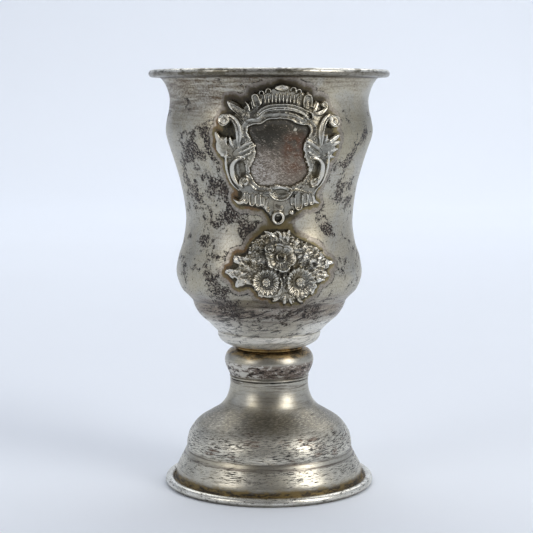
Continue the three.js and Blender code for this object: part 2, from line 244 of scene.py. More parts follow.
class Relief:
    """A height over the bowl's surface at every point of a flat grid."""

    def __init__(self, low, high, step):
        self.us = np.arange(low[0], high[0], step)
        self.vs = np.arange(low[1], high[1], step)
        self.step = step
        self.u, self.v = np.meshgrid(self.us, self.vs, indexing="ij")
        self.h = np.full(self.u.shape, -1.5)

    def window(self, points, margin):
        """The grid's cells near some points."""
        low, high = np.min(points, axis=0) - margin, np.max(points, axis=0) + margin
        i = np.searchsorted(self.us, (low[0], high[0]))
        j = np.searchsorted(self.vs, (low[1], high[1]))
        return np.s_[i[0]:i[1], j[0]:j[1]]

    def along(self, line, cells):
        """Distance to a line, + on its right, and the share of its length."""
        u, v = self.u[cells], self.v[cells]
        best = np.full(u.shape, np.inf)
        side, share = np.ones(u.shape), np.zeros(u.shape)
        lengths = np.linalg.norm(np.diff(line, axis=0), axis=1)
        start = np.concatenate([[0], np.cumsum(lengths)])
        for k, length in enumerate(lengths):
            (au, av), (du, dv) = line[k], (line[k + 1] - line[k]) / length
            t = np.clip((u - au) * du + (v - av) * dv, 0, length)
            off_u, off_v = u - au - t * du, v - av - t * dv
            apart = np.hypot(off_u, off_v)
            near = apart < best
            best[near] = apart[near]
            side[near] = np.sign(off_u * dv - off_v * du)[near]
            share[near] = ((start[k] + t) / start[-1])[near]
        return best * side, share

    def polar(self, cells, centre):
        """Distance and direction from a centre."""
        du, dv = self.u[cells] - centre[0], self.v[cells] - centre[1]
        return np.hypot(du, dv), np.arctan2(dv, du)

    def wander(self, scale, seed):
        """Smooth wandering values, about -1 to 1."""
        spots = np.stack([self.u, self.v, 0 * self.u], -1).reshape(-1, 3)
        return ripple(spots, scale, seed).reshape(self.u.shape)

    def put(self, cells, height):
        self.h[cells] = np.maximum(self.h[cells], height)

    def cover(self, cells, height, inside):
        """Replaces what has been drawn so far, inside a shape."""
        self.h[cells] = np.where(inside, height, self.h[cells])

    def flank(self, width, off, height):
        """The steep side of a raised shape: its height at a distance from its middle line."""
        return np.maximum(CLIFF, 2 * height / width) * (width - off)

    def sunk(self, centre, half_u, half_v, height):
        """Lowers an oval of what has been drawn so far."""
        cells = self.window([centre], max(half_u, half_v) + 0.4)
        reach = np.hypot((self.u[cells] - centre[0]) / half_u, (self.v[cells] - centre[1]) / half_v)
        bottom = height + 2.0 * np.clip(reach - 0.8, 0, 1)
        self.h[cells] = np.minimum(self.h[cells], np.where(reach < 1.2, bottom, 9))

    def bar(self, knots, width, height, base=0.9, channel=False, steps=None):
        """A raised line through some points, round or hollowed along its middle. width and height
        are one number or several, spread along it."""
        line = smooth(knots, steps or 8 * (len(knots) - 1))
        widths, heights = np.atleast_1d(width).astype(float), np.atleast_1d(height).astype(float)
        cells = self.window(line, widths.max() + 0.4)
        off, share = self.along(line, cells)
        off = np.abs(off)
        w = np.interp(share, np.linspace(0, 1, len(widths)), widths)
        top = np.interp(share, np.linspace(0, 1, len(heights)), heights) - base
        across = np.clip(off / w, 0, 1)
        shape = np.sqrt(1 - across**2)
        if channel:
            shape = 0.45 + 0.75 * across**2 - 0.6 * np.clip((across - 0.8) / 0.2, 0, 1) ** 2
        self.put(cells, np.minimum(base + top * shape, self.flank(w, off, base + top)))

    def leaf(self, knots, width, height, base=0.8, fold=0.35, lean=0.0, fullest=0.45):
        """A leaf or petal along a line, pointed at both ends, with a crease down its middle."""
        line = smooth(knots, 8 * (len(knots) - 1))
        cells = self.window(line, width + 0.4)
        off, share = self.along(line, cells)
        swell = np.where(share < fullest, share / fullest, (1 - share) / (1 - fullest))
        w = width * np.sqrt(np.clip(1 - (1 - swell) ** 2, 0, 1)) + 0.08
        across = np.clip(np.abs(off) / w, 0, 1)
        lift = np.interp(share, (0, 0.35, 1), (0.55, 1, 0.8))
        shape = lift * (np.sqrt(1 - across**2) * (1 - fold) + fold * across * (1.2 - across))
        shape += lean * np.clip(off / w, -1, 1)
        self.put(cells, np.minimum(base + (height - base) * shape, self.flank(w, np.abs(off), height)))

    def dome(self, centre, radius, height, base=0.8, stretch=1.0, turn=0.0):
        """A round or oval boss."""
        cells = self.window([centre], radius * max(1, stretch) + 0.4)
        du, dv = self.u[cells] - centre[0], self.v[cells] - centre[1]
        c, s = math.cos(math.radians(turn)), math.sin(math.radians(turn))
        r = np.hypot((c * du + s * dv) / stretch, c * dv - s * du) / radius
        shape = np.sqrt(np.clip(1 - r**2, 0, 1))
        cut = self.flank(radius, radius * r, height)
        self.put(cells, np.minimum(base + (height - base) * shape, cut))

    def ring(self, centre, radius, width, height, base=0.8, gap=None):
        """A round bead bent into a ring, or into a C with a gap at an angle in degrees."""
        cells = self.window([centre], radius + width + 0.4)
        rho, angle = self.polar(cells, centre)
        off = np.abs(rho - radius)
        across = np.clip(off / width, 0, 1)
        shape = np.sqrt(1 - across**2)
        cut = self.flank(width, off, height)
        if gap is not None:
            turn = np.degrees(angle) - gap
            turn = np.abs((turn + 180) % 360 - 180)
            cut = np.minimum(cut, (turn - 30) * 0.08)
        self.put(cells, np.minimum(base + (height - base) * shape, cut))

    def edge_distance(self, outline):
        """Distance to a closed smooth outline, + inside it."""
        closed = smooth(list(outline) + [outline[0]], 5 * len(outline))
        off = np.abs(self.along(closed, np.s_[:, :])[0])
        inside = np.zeros(self.u.shape, bool)
        for (au, av), (bu, bv) in zip(closed[:-1], closed[1:]):
            if av != bv:
                crosses = (av > self.v) != (bv > self.v)
                inside ^= crosses & (self.u < (bu - au) * (self.v - av) / (bv - av) + au)
        return np.where(inside, off, -off)

    def blurred(self, values, sigma):
        """Values smoothed over sigma millimetres."""
        reach = max(1, int(3 * sigma / self.step))
        x = np.arange(-reach, reach + 1) * self.step
        kernel = np.exp(-0.5 * (x / sigma) ** 2)
        kernel /= kernel.sum()
        padded = np.pad(values, reach, mode="edge")
        rows = sum(k * padded[n:n + values.shape[0], :] for n, k in enumerate(kernel))
        return sum(k * rows[:, n:n + values.shape[1]] for n, k in enumerate(kernel))

    def distance(self, solid, reach):
        """Distance from the cells that are solid, up to a reach in millimetres."""
        away = np.where(solid, 0.0, reach)
        for _ in range(int(reach / self.step)):
            padded = np.pad(away, 1, mode="edge")
            for i, j in ((0, 1), (2, 1), (1, 0), (1, 2), (0, 0), (0, 2), (2, 0), (2, 2)):
                far = self.step * math.hypot(i - 1, j - 1)
                near = padded[i:i + away.shape[0], j:j + away.shape[1]] + far
                away = np.minimum(away, near)
        return away

    def sample(self, values, u, v):
        """Values on the grid at any points, between cells too."""
        x = np.clip((u - self.us[0]) / self.step, 0, len(self.us) - 1.001)
        y = np.clip((v - self.vs[0]) / self.step, 0, len(self.vs) - 1.001)
        i, j = x.astype(int), y.astype(int)
        a, b = x - i, y - j
        low = values[i, j] * (1 - a) + values[i + 1, j] * a
        high = values[i, j + 1] * (1 - a) + values[i + 1, j + 1] * a
        return low * (1 - b) + high * b


def flipped(knots, axis, flip):
    """Points mirrored about a height line, if asked."""
    return [(2 * axis - u, v) for u, v in knots] if flip else knots


FIELD = [
    (0, 111.1), (3.2, 110.8), (4.6, 110.0), (6.4, 109.5), (8.3, 109.2), (8.9, 107.8), (7.8, 105.9),
    (7.2, 103.8), (7.8, 101), (8.9, 98.6), (9.8, 96.2), (8.4, 94.5), (5.8, 92.9), (3, 92.6),
    (0.3, 93.0), (-2.5, 92.6), (-5.9, 92.8), (-7.6, 94.3), (-8.6, 96.6), (-7.7, 99), (-6.7, 101),
    (-6.6, 103.6), (-7.3, 105.3), (-8.5, 107.6), (-8.1, 109.3), (-5.4, 109.6), (-3.4, 110.7),
]
CARTOUCHE_EDGE = [
    (0.6, 121.0), (3.4, 120.4), (6.2, 119.4), (8.9, 117.7), (11, 116.2), (14.6, 115.5),
    (13.0, 113.2), (15.0, 111.8), (14.2, 109.4), (13.6, 107.4), (15.4, 105.9), (17.9, 105.0),
    (17.2, 102.4), (16.6, 99.4), (15.8, 95.4), (14.8, 92.4), (13.4, 90.4), (13.4, 87.7),
    (9.8, 87.1), (6.8, 86.1), (4.6, 84.3), (2.2, 83.4), (0.3, 81.6), (-1.8, 83.2), (-4.6, 85.8),
    (-8, 87.1), (-12, 87.5), (-13.4, 88.3), (-11.9, 90.2), (-13.8, 92.2), (-15.5, 94.9),
    (-16.3, 98.4), (-16.4, 100.8), (-18.2, 103.0), (-16.9, 105.4), (-14.4, 106.0), (-12.5, 106.2),
    (-12.5, 108.6), (-13.6, 110.0), (-13.9, 111.8), (-11.6, 113.4), (-10.4, 114.6), (-8.2, 116.4),
    (-6.6, 117.7), (-4.4, 118.9), (-2.2, 119.8),
]


def spiral(centre, radius, start, turns, inner=0.35, count=14):
    """Points of a scroll's eye, winding in from an angle in degrees. turns below 0 go clockwise."""
    t = np.linspace(0, 1, count)
    a = math.radians(start) + 2 * math.pi * turns * t
    reach = radius * (1 - (1 - inner) * t)
    return [(centre[0] + p * math.cos(b), centre[1] + p * math.sin(b)) for p, b in zip(reach, a)]


def leaf_row(r, row, *height, **style):
    """A leaf from its three points, its half-width and its height, if that isn't given for all."""
    r.leaf([row[0:2], row[2:4], row[4:6]], *row[6:], *height, **style)


def tongue(r, top, foot, width, height):
    """A flute with a raised rim that is open at its top and round at its foot."""
    (au, av), (bu, bv) = top, foot
    length = math.hypot(bu - au, bv - av)
    du, dv = (bu - au) / length, (bv - av) / length
    su, sv = -dv * width / 2, du * width / 2
    near = 1 - 0.45 * width / length
    rim = [
        (au + su, av + sv), (au + su + du * length * near, av + sv + dv * length * near),
        (bu + 0.55 * su, bv + 0.55 * sv), (bu - 0.55 * su, bv - 0.55 * sv),
        (au - su + du * length * near, av - sv + dv * length * near), (au - su, av - sv),
    ]
    r.bar([top, foot], 0.5 * width, 1.35, 1.1)
    r.bar(rim, (0.28, 0.34, 0.42, 0.34, 0.28), height, 1.1, steps=20)


def cartouche_relief(step):
    """Rococo frame: a ribbed crest over a reeded arch, scrolls and leaves, and a shell with a ring."""
    r = Relief((-26, 75), (26, 123), step)
    edge = r.edge_distance(CARTOUCHE_EDGE)
    hole = r.edge_distance(FIELD)
    uneven = 0.10 * r.wander(3.2, 5)
    jagged = 0.20 * r.wander(0.95, 6) * np.clip((110.5 - r.v) / 4, 0.2, 1)
    out = -hole + uneven + jagged  # outwards from the open field
    border = 1.2 - 5 * (out - 0.28) ** 2
    cove = 0.85 + 0.5 * np.clip((out - 0.5) / 1.3, 0, 1) ** 2
    plate = np.where(out < 0.6, np.maximum(border, cove), np.where(out < 2, cove, 0.95))
    plate += 0.6 * uneven
    r.put(np.s_[:, :], np.minimum.reduce([plate, CLIFF * edge, CLIFF * out]))

    # Hollows inside the lower scrolls, and at the roots of the leaves.
    r.sunk((-11.2, 97.4), 1.15, 2.8, 0.45)
    r.sunk((12.0, 96.9), 1.0, 2.7, 0.45)
    r.sunk((-15.0, 104.9), 0.6, 0.5, 0.3)
    r.sunk((-16.1, 102.0), 0.45, 0.6, 0.3)

    # Reeded arch over the field, a plain moulding under it, and a curl and a bead at its ends.
    arch = [(-6.0, 113.2), (-3.6, 114.9), (0, 115.4), (3.8, 115.2), (6.6, 114.2), (8.3, 112.7)]
    for lift, width, height in ((0.0, 0.34, 2.3), (-0.75, 0.28, 2.1), (-1.4, 0.3, 2.05)):
        line = [(u, v + lift - 0.05 * abs(u) * (lift < 0)) for u, v in arch]
        r.bar(line, (0.25, width, width, width, 0.28), height)
    under = [(-6.2, 112.4), (-3.6, 114.0), (0, 114.5), (3.6, 114.3), (6.6, 113.1), (8.3, 111.8)]
    lowest = [(-5.6, 111.9), (-2.8, 112.7), (0.5, 113.0), (4.4, 112.3), (7.4, 110.5)]
    curl = [(7.6, 113.6), (9.1, 112.6), (9.3, 111.3), (8.3, 110.7), (7.5, 111.3)]
    r.bar(under, (0.8, 1.2, 1.3, 1.2, 0.9), 1.8)
    r.bar(lowest, (0.4, 0.75, 0.85, 0.8, 0.5), 1.3)
    r.bar(curl, (0.3, 0.4, 0.42, 0.36, 0.25), 2.8)
    r.dome((-5.9, 112.0), 0.72, 3.0)

    # Crest: fine ribs between two lobes, with small curls and an oval jewel on top.
    for k in range(11):
        foot = -4.9 + 1.02 * k
        top = 118.0 + 0.25 * (k % 2) - 0.024 * (foot - 0.4) ** 2
        rib = [(foot, 116.0 - 0.016 * foot**2), (1.05 * foot, top)]
        r.bar(rib, (0.27, 0.34, 0.3), (1.9, 1.5, 1.5))
    curls = (-4.9, 118.5, 0.62), (-3.0, 119.0, 0.72), (3.9, 119.4, 0.72), (5.5, 118.9, 0.68)
    for u, v, radius in curls:
        r.sunk((u, v), 0.45, 0.45, 0.7)
        r.ring((u, v), radius, 0.3, 2.3, gap=-90)
    turns = np.linspace(0, 2 * math.pi, 13)
    jewel = [(0.7 + 1.75 * math.cos(t), 119.95 + 0.62 * math.sin(t)) for t in turns]
    r.bar(jewel, 0.27, 2.2)
    r.bar([(-0.5, 119.95), (1.9, 119.95)], 0.55, 1.95, 1.2)
    r.bar([(5.9, 117.6), (6.4, 118.1), (7.0, 117.9)], (0.3, 0.3, 0.2), 2.1)
    tongue(r, (-6.0, 115.0), (-6.9, 118.0), 1.75, 2.25)
    tongue(r, (8.3, 114.7), (8.4, 117.9), 2.3, 2.2)
    r.bar([(-8.2, 113.5), (-8.7, 115.2), (-9.5, 116.2)], (0.5, 0.55, 0.25), 2.4)
    r.bar([(-7.4, 114.2), (-7.6, 115.2), (-7.9, 116.2)], (0.3, 0.3, 0.2), 1.9)
    r.bar([(10.0, 114.6), (10.6, 115.7), (10.9, 116.4)], (0.5, 0.5, 0.25), 2.1)

    # Broad spear leaf on the left shoulder, and a bright rocaille leaf on the right one.
    r.leaf([(-9.2, 111.4), (-11.2, 113.3), (-15.2, 116.4)], 1.6, 1.7, fold=0.55, lean=0.1)
    r.bar([(-9.6, 113.6), (-12.2, 115.0), (-15.0, 116.3)], (0.25, 0.3, 0.15), 2.1)
    r.bar([(-9.9, 110.7), (-11.6, 112.4), (-13.4, 113.9)], (0.25, 0.3, 0.15), 1.9)
    for bend, tip, width in (((12.4, 112.9), (14.9, 114.6), 0.95), ((10.8, 114.0), (11.9, 116.2), 0.6)):
        r.leaf([(9.9, 112.5), bend, tip], width, 2.2, fold=0.5)
    r.dome((13.3, 115.3), 1.2, 1.8, base=1.0)
    r.bar(spiral((13.3, 115.3), 1.05, -60, 1.0, inner=0.4), (0.42, 0.36, 0.25), 2.5, 1.2)

    # Upper scrolls: a channelled stem that ends in a round eye.
    stem = [(-11.5, 104.2), (-11.1, 106.8), (-11.4, 109.0), (-12.5, 110.9), (-14.2, 112.0)]
    for flip, eye in ((False, (-15.4, 110.7)), (True, (16.2, 110.4))):
        line = flipped(stem, 0.45, flip)
        r.bar(line, (0.7, 1.2, 1.3, 1.2, 0.9), (1.9, 2.3, 2.5, 2.6, 2.5), channel=True)
        ring = spiral(eye, 1.6, 130 if flip else 50, -1.0 if flip else 1.0, inner=0.8, count=20)
        r.dome(eye, 1.75, 2.05, base=1.3)
        r.bar(ring, (0.5, 0.42, 0.36, 0.25), (2.5, 2.5, 2.4, 2.1), 1.5)
        r.dome(eye, 0.6, 2.45, base=1.6)

    # Lower scrolls: an outer rib, a broad smooth band and a round eye.
    rib = [(-15.2, 102.2), (-15.9, 99.6), (-15.7, 96.6), (-14.7, 93.6), (-12.7, 91.4)]
    band = [(-9.9, 100.6), (-12.2, 100.3), (-13.8, 98.6), (-14.0, 95.9), (-12.9, 93.7), (-11.3, 92.6)]
    for flip, eye in ((False, (-10.4, 94.1)), (True, (11.6, 93.8))):
        rim, broad = flipped(rib, 0.0, flip), flipped(band, 0.0, flip)
        r.bar(rim, (0.4, 0.7, 0.75, 0.65, 0.35), (1.6, 1.8, 1.9, 1.8, 1.5))
        r.bar(broad, (0.5, 1.0, 1.25, 1.25, 1.0, 0.7), (1.9, 2.2, 2.3, 2.3, 2.3, 2.2))
        ring = spiral(eye, 1.4, -50 if flip else 230, 0.9 if flip else -0.9, inner=0.85, count=20)
        r.dome(eye, 1.5, 1.95, base=1.2)
        r.bar(ring, (0.45, 0.4, 0.34, 0.25), (2.3, 2.4, 2.5, 2.2), 1.4)
        r.dome((eye[0] + 0.2, eye[1] + 0.25), 0.6, 2.5, base=1.6)

    # Outer leaves under the upper scrolls.
    r.dome((-16.7, 103.9), 2.1, 1.65, base=1.0, stretch=1.35, turn=80)
    r.dome((15.9, 103.2), 2.0, 1.5, base=0.6, stretch=1.2, turn=100)
    for row in (
        (-15.6, 103.4, -17.2, 105.4, -18.3, 107.9, 0.95),
        (-14.4, 103.0, -15.3, 104.8, -15.0, 106.6, 0.7),
        (-12.8, 103.2, -13.6, 104.8, -13.9, 106.6, 0.6),
        (-14.6, 102.2, -16.8, 102.8, -18.6, 103.2, 0.9),
        (-14.0, 100.8, -15.8, 101.2, -17.6, 101.3, 0.65),
        (13.6, 104.4, 15.6, 105.2, 18.3, 107.0, 0.85), (14.2, 103.2, 16.6, 104.4, 19.1, 105.2, 0.8),
        (13.4, 104.8, 13.9, 106.0, 14.0, 107.2, 0.5), (14.4, 102.2, 16.8, 102.8, 19.0, 103.1, 0.75),
        (14.4, 101.0, 16.4, 100.9, 18.3, 100.9, 0.6),
    ):
        leaf_row(r, row, 1.95, fold=0.45, lean=0.12)

    # Inner leaves, reaching from the scrolls to the field.
    for row in (
        (-13.6, 101.8, -11.0, 103.6, -7.4, 105.4, 0.8),
        (-13.6, 101.2, -10.6, 102.4, -7.0, 104.2, 0.7),
        (-13.0, 100.6, -10.2, 101.3, -7.1, 102.6, 0.55),
        (13.4, 101.9, 10.9, 103.8, 7.6, 105.7, 0.85), (13.6, 101.2, 11.2, 101.9, 8.2, 104.2, 0.6),
        (12.8, 100.6, 10.8, 101.2, 8.6, 102.4, 0.5),
    ):
        leaf_row(r, row, 2.1, fold=0.4, lean=0.1)

    # Pad over the ring, and a smiling mouth with a bead and a curl at each end.
    r.bar([(0.7, 87.4), (0.5, 86.2), (0.3, 84.9)], (2.4, 2.0, 1.6), (1.3, 1.6, 1.7))
    r.sunk((0.9, 90.9), 2.5, 0.85, 0.45)
    smile = [(-2.6, 90.5), (-1.2, 89.2), (0.9, 88.7), (3.0, 89.2), (4.4, 90.6)]
    r.bar(smile, (0.4, 0.62, 0.7, 0.62, 0.4), 1.95)
    r.bar([(4.2, 91.3), (6.2, 91.4), (8.6, 91.0)], (0.4, 0.34, 0.2), 2.1)
    r.bar([(-2.7, 91.4), (-5.2, 91.2), (-7.4, 91.6)], (0.4, 0.32, 0.2), 1.9)
    r.dome((-2.6, 91.4), 0.6, 2.5)
    r.dome((4.2, 91.3), 0.65, 2.6)

    # Lower shell: tongues, a tail on each side, and the hanging ring.
    for top, foot, width, height in (
        ((-10.2, 90.4), (-10.6, 87.7), 1.3, 1.65), ((-8.2, 90.2), (-8.4, 87.3), 1.8, 2.0),
        ((-6.3, 90.2), (-6.4, 87.0), 1.3, 1.85), ((-4.9, 89.4), (-5.1, 87.0), 1.0, 1.6),
        ((4.9, 89.4), (5.1, 87.2), 1.0, 1.6), ((6.9, 90.2), (7.1, 86.0), 2.3, 2.15),
        ((9.1, 90.4), (9.7, 87.1), 1.4, 1.85), ((10.9, 90.4), (11.9, 87.4), 1.5, 1.8),
    ):
        tongue(r, top, foot, width, height)
    r.bar([(-11.2, 88.2), (-12.9, 87.8), (-14.9, 88.9)], (1.0, 0.85, 0.3), (1.8, 1.8, 1.4))
    r.bar([(12.2, 89.4), (12.8, 88.2), (15.0, 87.4)], (0.9, 0.85, 0.3), (1.8, 1.8, 1.3))
    r.leaf([(-3.0, 89.4), (-3.9, 87.6), (-3.6, 85.4)], 0.9, 1.7)
    r.bar(spiral((-3.1, 85.6), 0.6, 90, 0.8), (0.3, 0.22), 1.9)
    r.dome((4.8, 85.0), 1.15, 1.9)
    r.ring((0.25, 83.5), 1.65, 0.82, 2.4, base=0.7)
    r.bar([(0.9, 84.3), (1.3, 83.4), (0.9, 82.6)], (0.2, 0.3, 0.2), 1.5)
    r.h += 0.03 * r.wander(1.3, 15) * (r.h > 0.8)
    return r


def blossom(r, centre, radius, flutes, eye):
    """An open flower: a fluted, cupped rim round a dark eye with a knobbly boss."""
    cells = r.window([centre], radius + 1)
    rho, angle = r.polar(cells, centre)
    wave = np.cos(flutes * angle)
    reach = radius * (1 + 0.05 * wave + 0.03 * np.cos(3 * angle + centre[0]))
    share = np.clip(rho / reach, 0, 1.2)
    cup = 0.75 + 1.45 * np.clip((share - 0.46) / 0.4, 0, 1) ** 0.9 - 6.0 * np.clip(share - 0.9, 0, 1)
    cup += 0.45 * wave * np.clip((share - 0.5) / 0.15, 0, 1)
    r.cover(cells, np.minimum(cup, 0.6 + CLIFF * (reach - rho)), rho < reach)
    r.dome(centre, 1.1 * eye, 1.5, base=0.9)
    for k in range(7):
        a = 2 * math.pi * k / 7 + 0.3
        knob = (centre[0] + 0.74 * eye * math.cos(a), centre[1] + 0.74 * eye * math.sin(a))
        r.dome(knob, 0.38, 2.1, base=1.0)
    r.dome(centre, 0.4, 2.1, base=1.0)


def scattered(r, inside, floor, count, seed):
    """Small leaves and berries on the parts of a plate that are still lower than a floor."""
    rng = np.random.default_rng(seed)
    for _ in range(count):
        i, j = rng.integers(len(r.us)), rng.integers(len(r.vs))
        size, turn, lean = rng.uniform(0.35, 0.6), rng.uniform(0, 2 * math.pi), rng.uniform(1.5, 2.1)
        if inside[i, j] < 0.2 or r.h[i, j] > floor:
            continue
        u, v = r.us[i], r.vs[j]
        if size < 0.47:
            r.dome((u, v), size + 0.1, lean)
        else:
            du, dv = 1.1 * math.cos(turn), 1.1 * math.sin(turn)
            r.leaf([(u - du, v - dv), (u, v), (u + du, v + dv)], size, lean, fold=0.5, lean=0.15)


SPRAY_EDGE = [
    (0.5, 79.4), (3.6, 79.0), (5.4, 77.4), (8.4, 75.8), (11.6, 74.6), (13.6, 72.2), (15.6, 69.8),
    (14.0, 67.6), (14.2, 65.8), (11.4, 64.8), (10.6, 62.0), (7.4, 60.4), (2.8, 59.2), (-1.6, 60.4),
    (-4.8, 61.6), (-6.8, 64.2), (-10.8, 63.8), (-11.8, 66.0), (-14.2, 67.2), (-11.4, 69.2),
    (-12.6, 71.4), (-9.0, 72.6), (-7.6, 75.8), (-3.6, 78.8),
]


def spray_relief(step):
    """Three blossoms in a lozenge of leaves, buds and berries."""
    r = Relief((-23, 54), (23, 86), step)
    edge = r.edge_distance(SPRAY_EDGE)
    uneven = r.wander(2.2, 9)
    r.put(np.s_[:, :], np.minimum(0.95 + 0.16 * uneven, CLIFF * (edge + 0.25 * uneven)))

    # Leaves round the blossoms.
    for row in (
        (-8.0, 71.2, -10.0, 71.5, -12.6, 72.1, 0.8, 1.8),
        (-8.4, 70.2, -10.2, 70.3, -12.4, 70.6, 0.75, 1.8),
        (-11.2, 67.6, -12.8, 67.8, -14.6, 67.5, 1.05, 1.8),
        (-8.6, 67.4, -10.4, 67.6, -12.4, 68.2, 0.8, 1.6),
        (-8.2, 66.4, -10.0, 65.4, -11.4, 63.6, 1.15, 1.6),
        (-8.0, 67.6, -9.4, 66.8, -10.6, 66.4, 0.9, 1.7),
        (-7.0, 68.6, -8.8, 68.8, -10.4, 68.9, 0.6, 1.8),
        (0.0, 77.2, -1.8, 78.6, -3.9, 79.4, 0.7, 2.2),
        (0.9, 77.0, 0.8, 78.6, -0.4, 79.6, 0.55, 2.1), (1.6, 76.8, 2.0, 78.2, 1.8, 79.4, 0.5, 2.0),
        (2.4, 76.8, 3.2, 78.2, 3.5, 80.0, 0.6, 2.3), (5.6, 70.4, 7.4, 71.4, 10.4, 71.2, 0.8, 2.1),
        (6.2, 72.2, 8.4, 72.6, 10.8, 73.4, 0.8, 2.1), (6.4, 73.8, 7.8, 74.6, 9.4, 74.8, 0.6, 2.0),
        (10.4, 70.2, 11.8, 71.0, 13.6, 72.4, 0.8, 2.1),
        (12.4, 69.2, 14.2, 69.9, 16.8, 69.7, 0.85, 2.2),
        (9.6, 68.9, 11.8, 69.2, 13.6, 68.4, 0.45, 2.2),
        (9.4, 68.0, 11.8, 68.0, 14.0, 67.2, 0.45, 2.2),
        (9.6, 67.1, 12.0, 66.8, 14.9, 66.2, 0.45, 2.2),
        (10.0, 66.2, 11.8, 65.7, 13.4, 65.2, 0.4, 2.0),
        (-1.2, 69.0, -0.2, 67.2, 1.1, 64.9, 0.5, 2.5), (4.5, 69.2, 3.0, 67.0, 2.9, 63.4, 0.55, 2.5),
        (0.4, 68.2, 1.7, 68.9, 3.2, 68.4, 0.5, 2.5), (1.8, 67.8, 1.9, 66.0, 1.9, 64.2, 0.5, 1.9),
        (0.8, 64.0, 0.4, 62.4, -0.8, 61.2, 0.8, 2.1), (0.6, 61.0, -0.4, 60.2, -1.8, 59.7, 0.5, 1.8),
        (2.0, 61.4, 2.1, 59.8, 1.9, 58.6, 0.5, 1.8), (3.4, 60.8, 3.8, 59.6, 4.6, 58.6, 0.5, 1.8),
        (5.6, 60.4, 6.6, 59.6, 8.0, 59.2, 0.5, 1.7),
    ):
        leaf_row(r, row, fold=0.5, lean=0.12)

    # Berries: a row along the upper right edge, and others among the leaves.
    for k in range(8):
        t = k / 7
        r.dome((4.6 + 8.6 * t, 77.3 - 4.6 * t + 0.35 * (k % 2)), 0.62 - 0.1 * (k % 2), 2.2)
    for centre, size in (
        ((-7.0, 76.0), 0.6), ((-5.7, 75.4), 0.55), ((-4.4, 76.9), 0.6), ((-3.1, 77.6), 0.5),
        ((-6.3, 73.3), 0.75), ((-7.6, 73.9), 0.55), ((-5.0, 71.7), 0.65), ((-6.8, 71.4), 0.6),
        ((-8.6, 72.2), 0.5), ((-4.9, 73.9), 0.5), ((6.1, 69.5), 0.7), ((8.0, 69.2), 0.5),
        ((-4.6, 69.6), 0.55), ((-6.0, 69.4), 0.5),
    ):
        r.dome(centre, size, 2.2)
    scattered(r, edge, 1.2, 900, 12)
    r.h += (0.10 * r.wander(1.2, 16) + 0.06 * uneven) * (r.h > 0.8)

    # Top blossom: cupped petals with a thick rim round a ringed eye, and a rosebud at its left.
    heart, bud = (0.8, 71.8), (-2.1, 74.0)
    cells = r.window([heart], 5)
    rho, angle = r.polar(cells, heart)
    lobe = np.abs(np.cos(3 * (angle - math.pi / 4)))
    reach = 3.95 * (1 + 0.17 * lobe**0.7)
    share = rho / reach
    cleft = 0.7 * np.clip(1 - lobe / 0.3, 0, 1) * np.clip(3 * share - 1, 0, 1)
    cup = 1.1 + 0.7 * np.clip((share - 0.36) / 0.4, 0, 1) + 0.05 * np.cos(18 * angle) - cleft
    cup += 0.6 * np.exp(-(((share - 0.84) / 0.11) ** 2))
    r.cover(cells, np.minimum(cup, 0.6 + CLIFF * (reach - rho)), rho < reach)
    r.ring(heart, 1.1, 0.48, 2.5, base=0.8)
    r.dome((heart[0] + 0.1, heart[1]), 0.6, 2.0, base=1.0)
    r.sunk(bud, 1.9, 1.9, 1.3)
    r.dome(bud, 1.8, 2.3, base=1.2)
    r.bar(spiral(bud, 1.6, 60, 1.5, inner=0.2, count=24), (0.4, 0.36, 0.32), 3.0, 1.4)
    blossom(r, (-3.1, 65.2), 3.75, 17, 1.3)
    blossom(r, (6.0, 65.1), 4.2, 18, 1.45)
    return r


def side_radius(z):
    return np.interp(z, BOWL_SIDE[:, 1], BOWL_SIDE[:, 0])


SIDE_NORMALS = normals(BOWL_SIDE)


def wrapped(u, v, lift, wrap_r):
    """Points on the bowl for flat places u, v and heights above the surface, in millimetres.
    Where the bowl flares under the lip the heights point level, so the crest stands up straight."""
    normal_r = np.interp(v, BOWL_SIDE[:, 1], SIDE_NORMALS[:, 0])
    normal_z = np.interp(v, BOWL_SIDE[:, 1], SIDE_NORMALS[:, 1]) * np.clip((115 - v) / 4, 0, 1)
    r = side_radius(v) + lift * normal_r
    angle = u / wrap_r
    return np.stack([r * np.sin(angle), -r * np.cos(angle), v + lift * normal_z], -1)


SINK = -0.3  # an ornament's back, under the bowl's surface


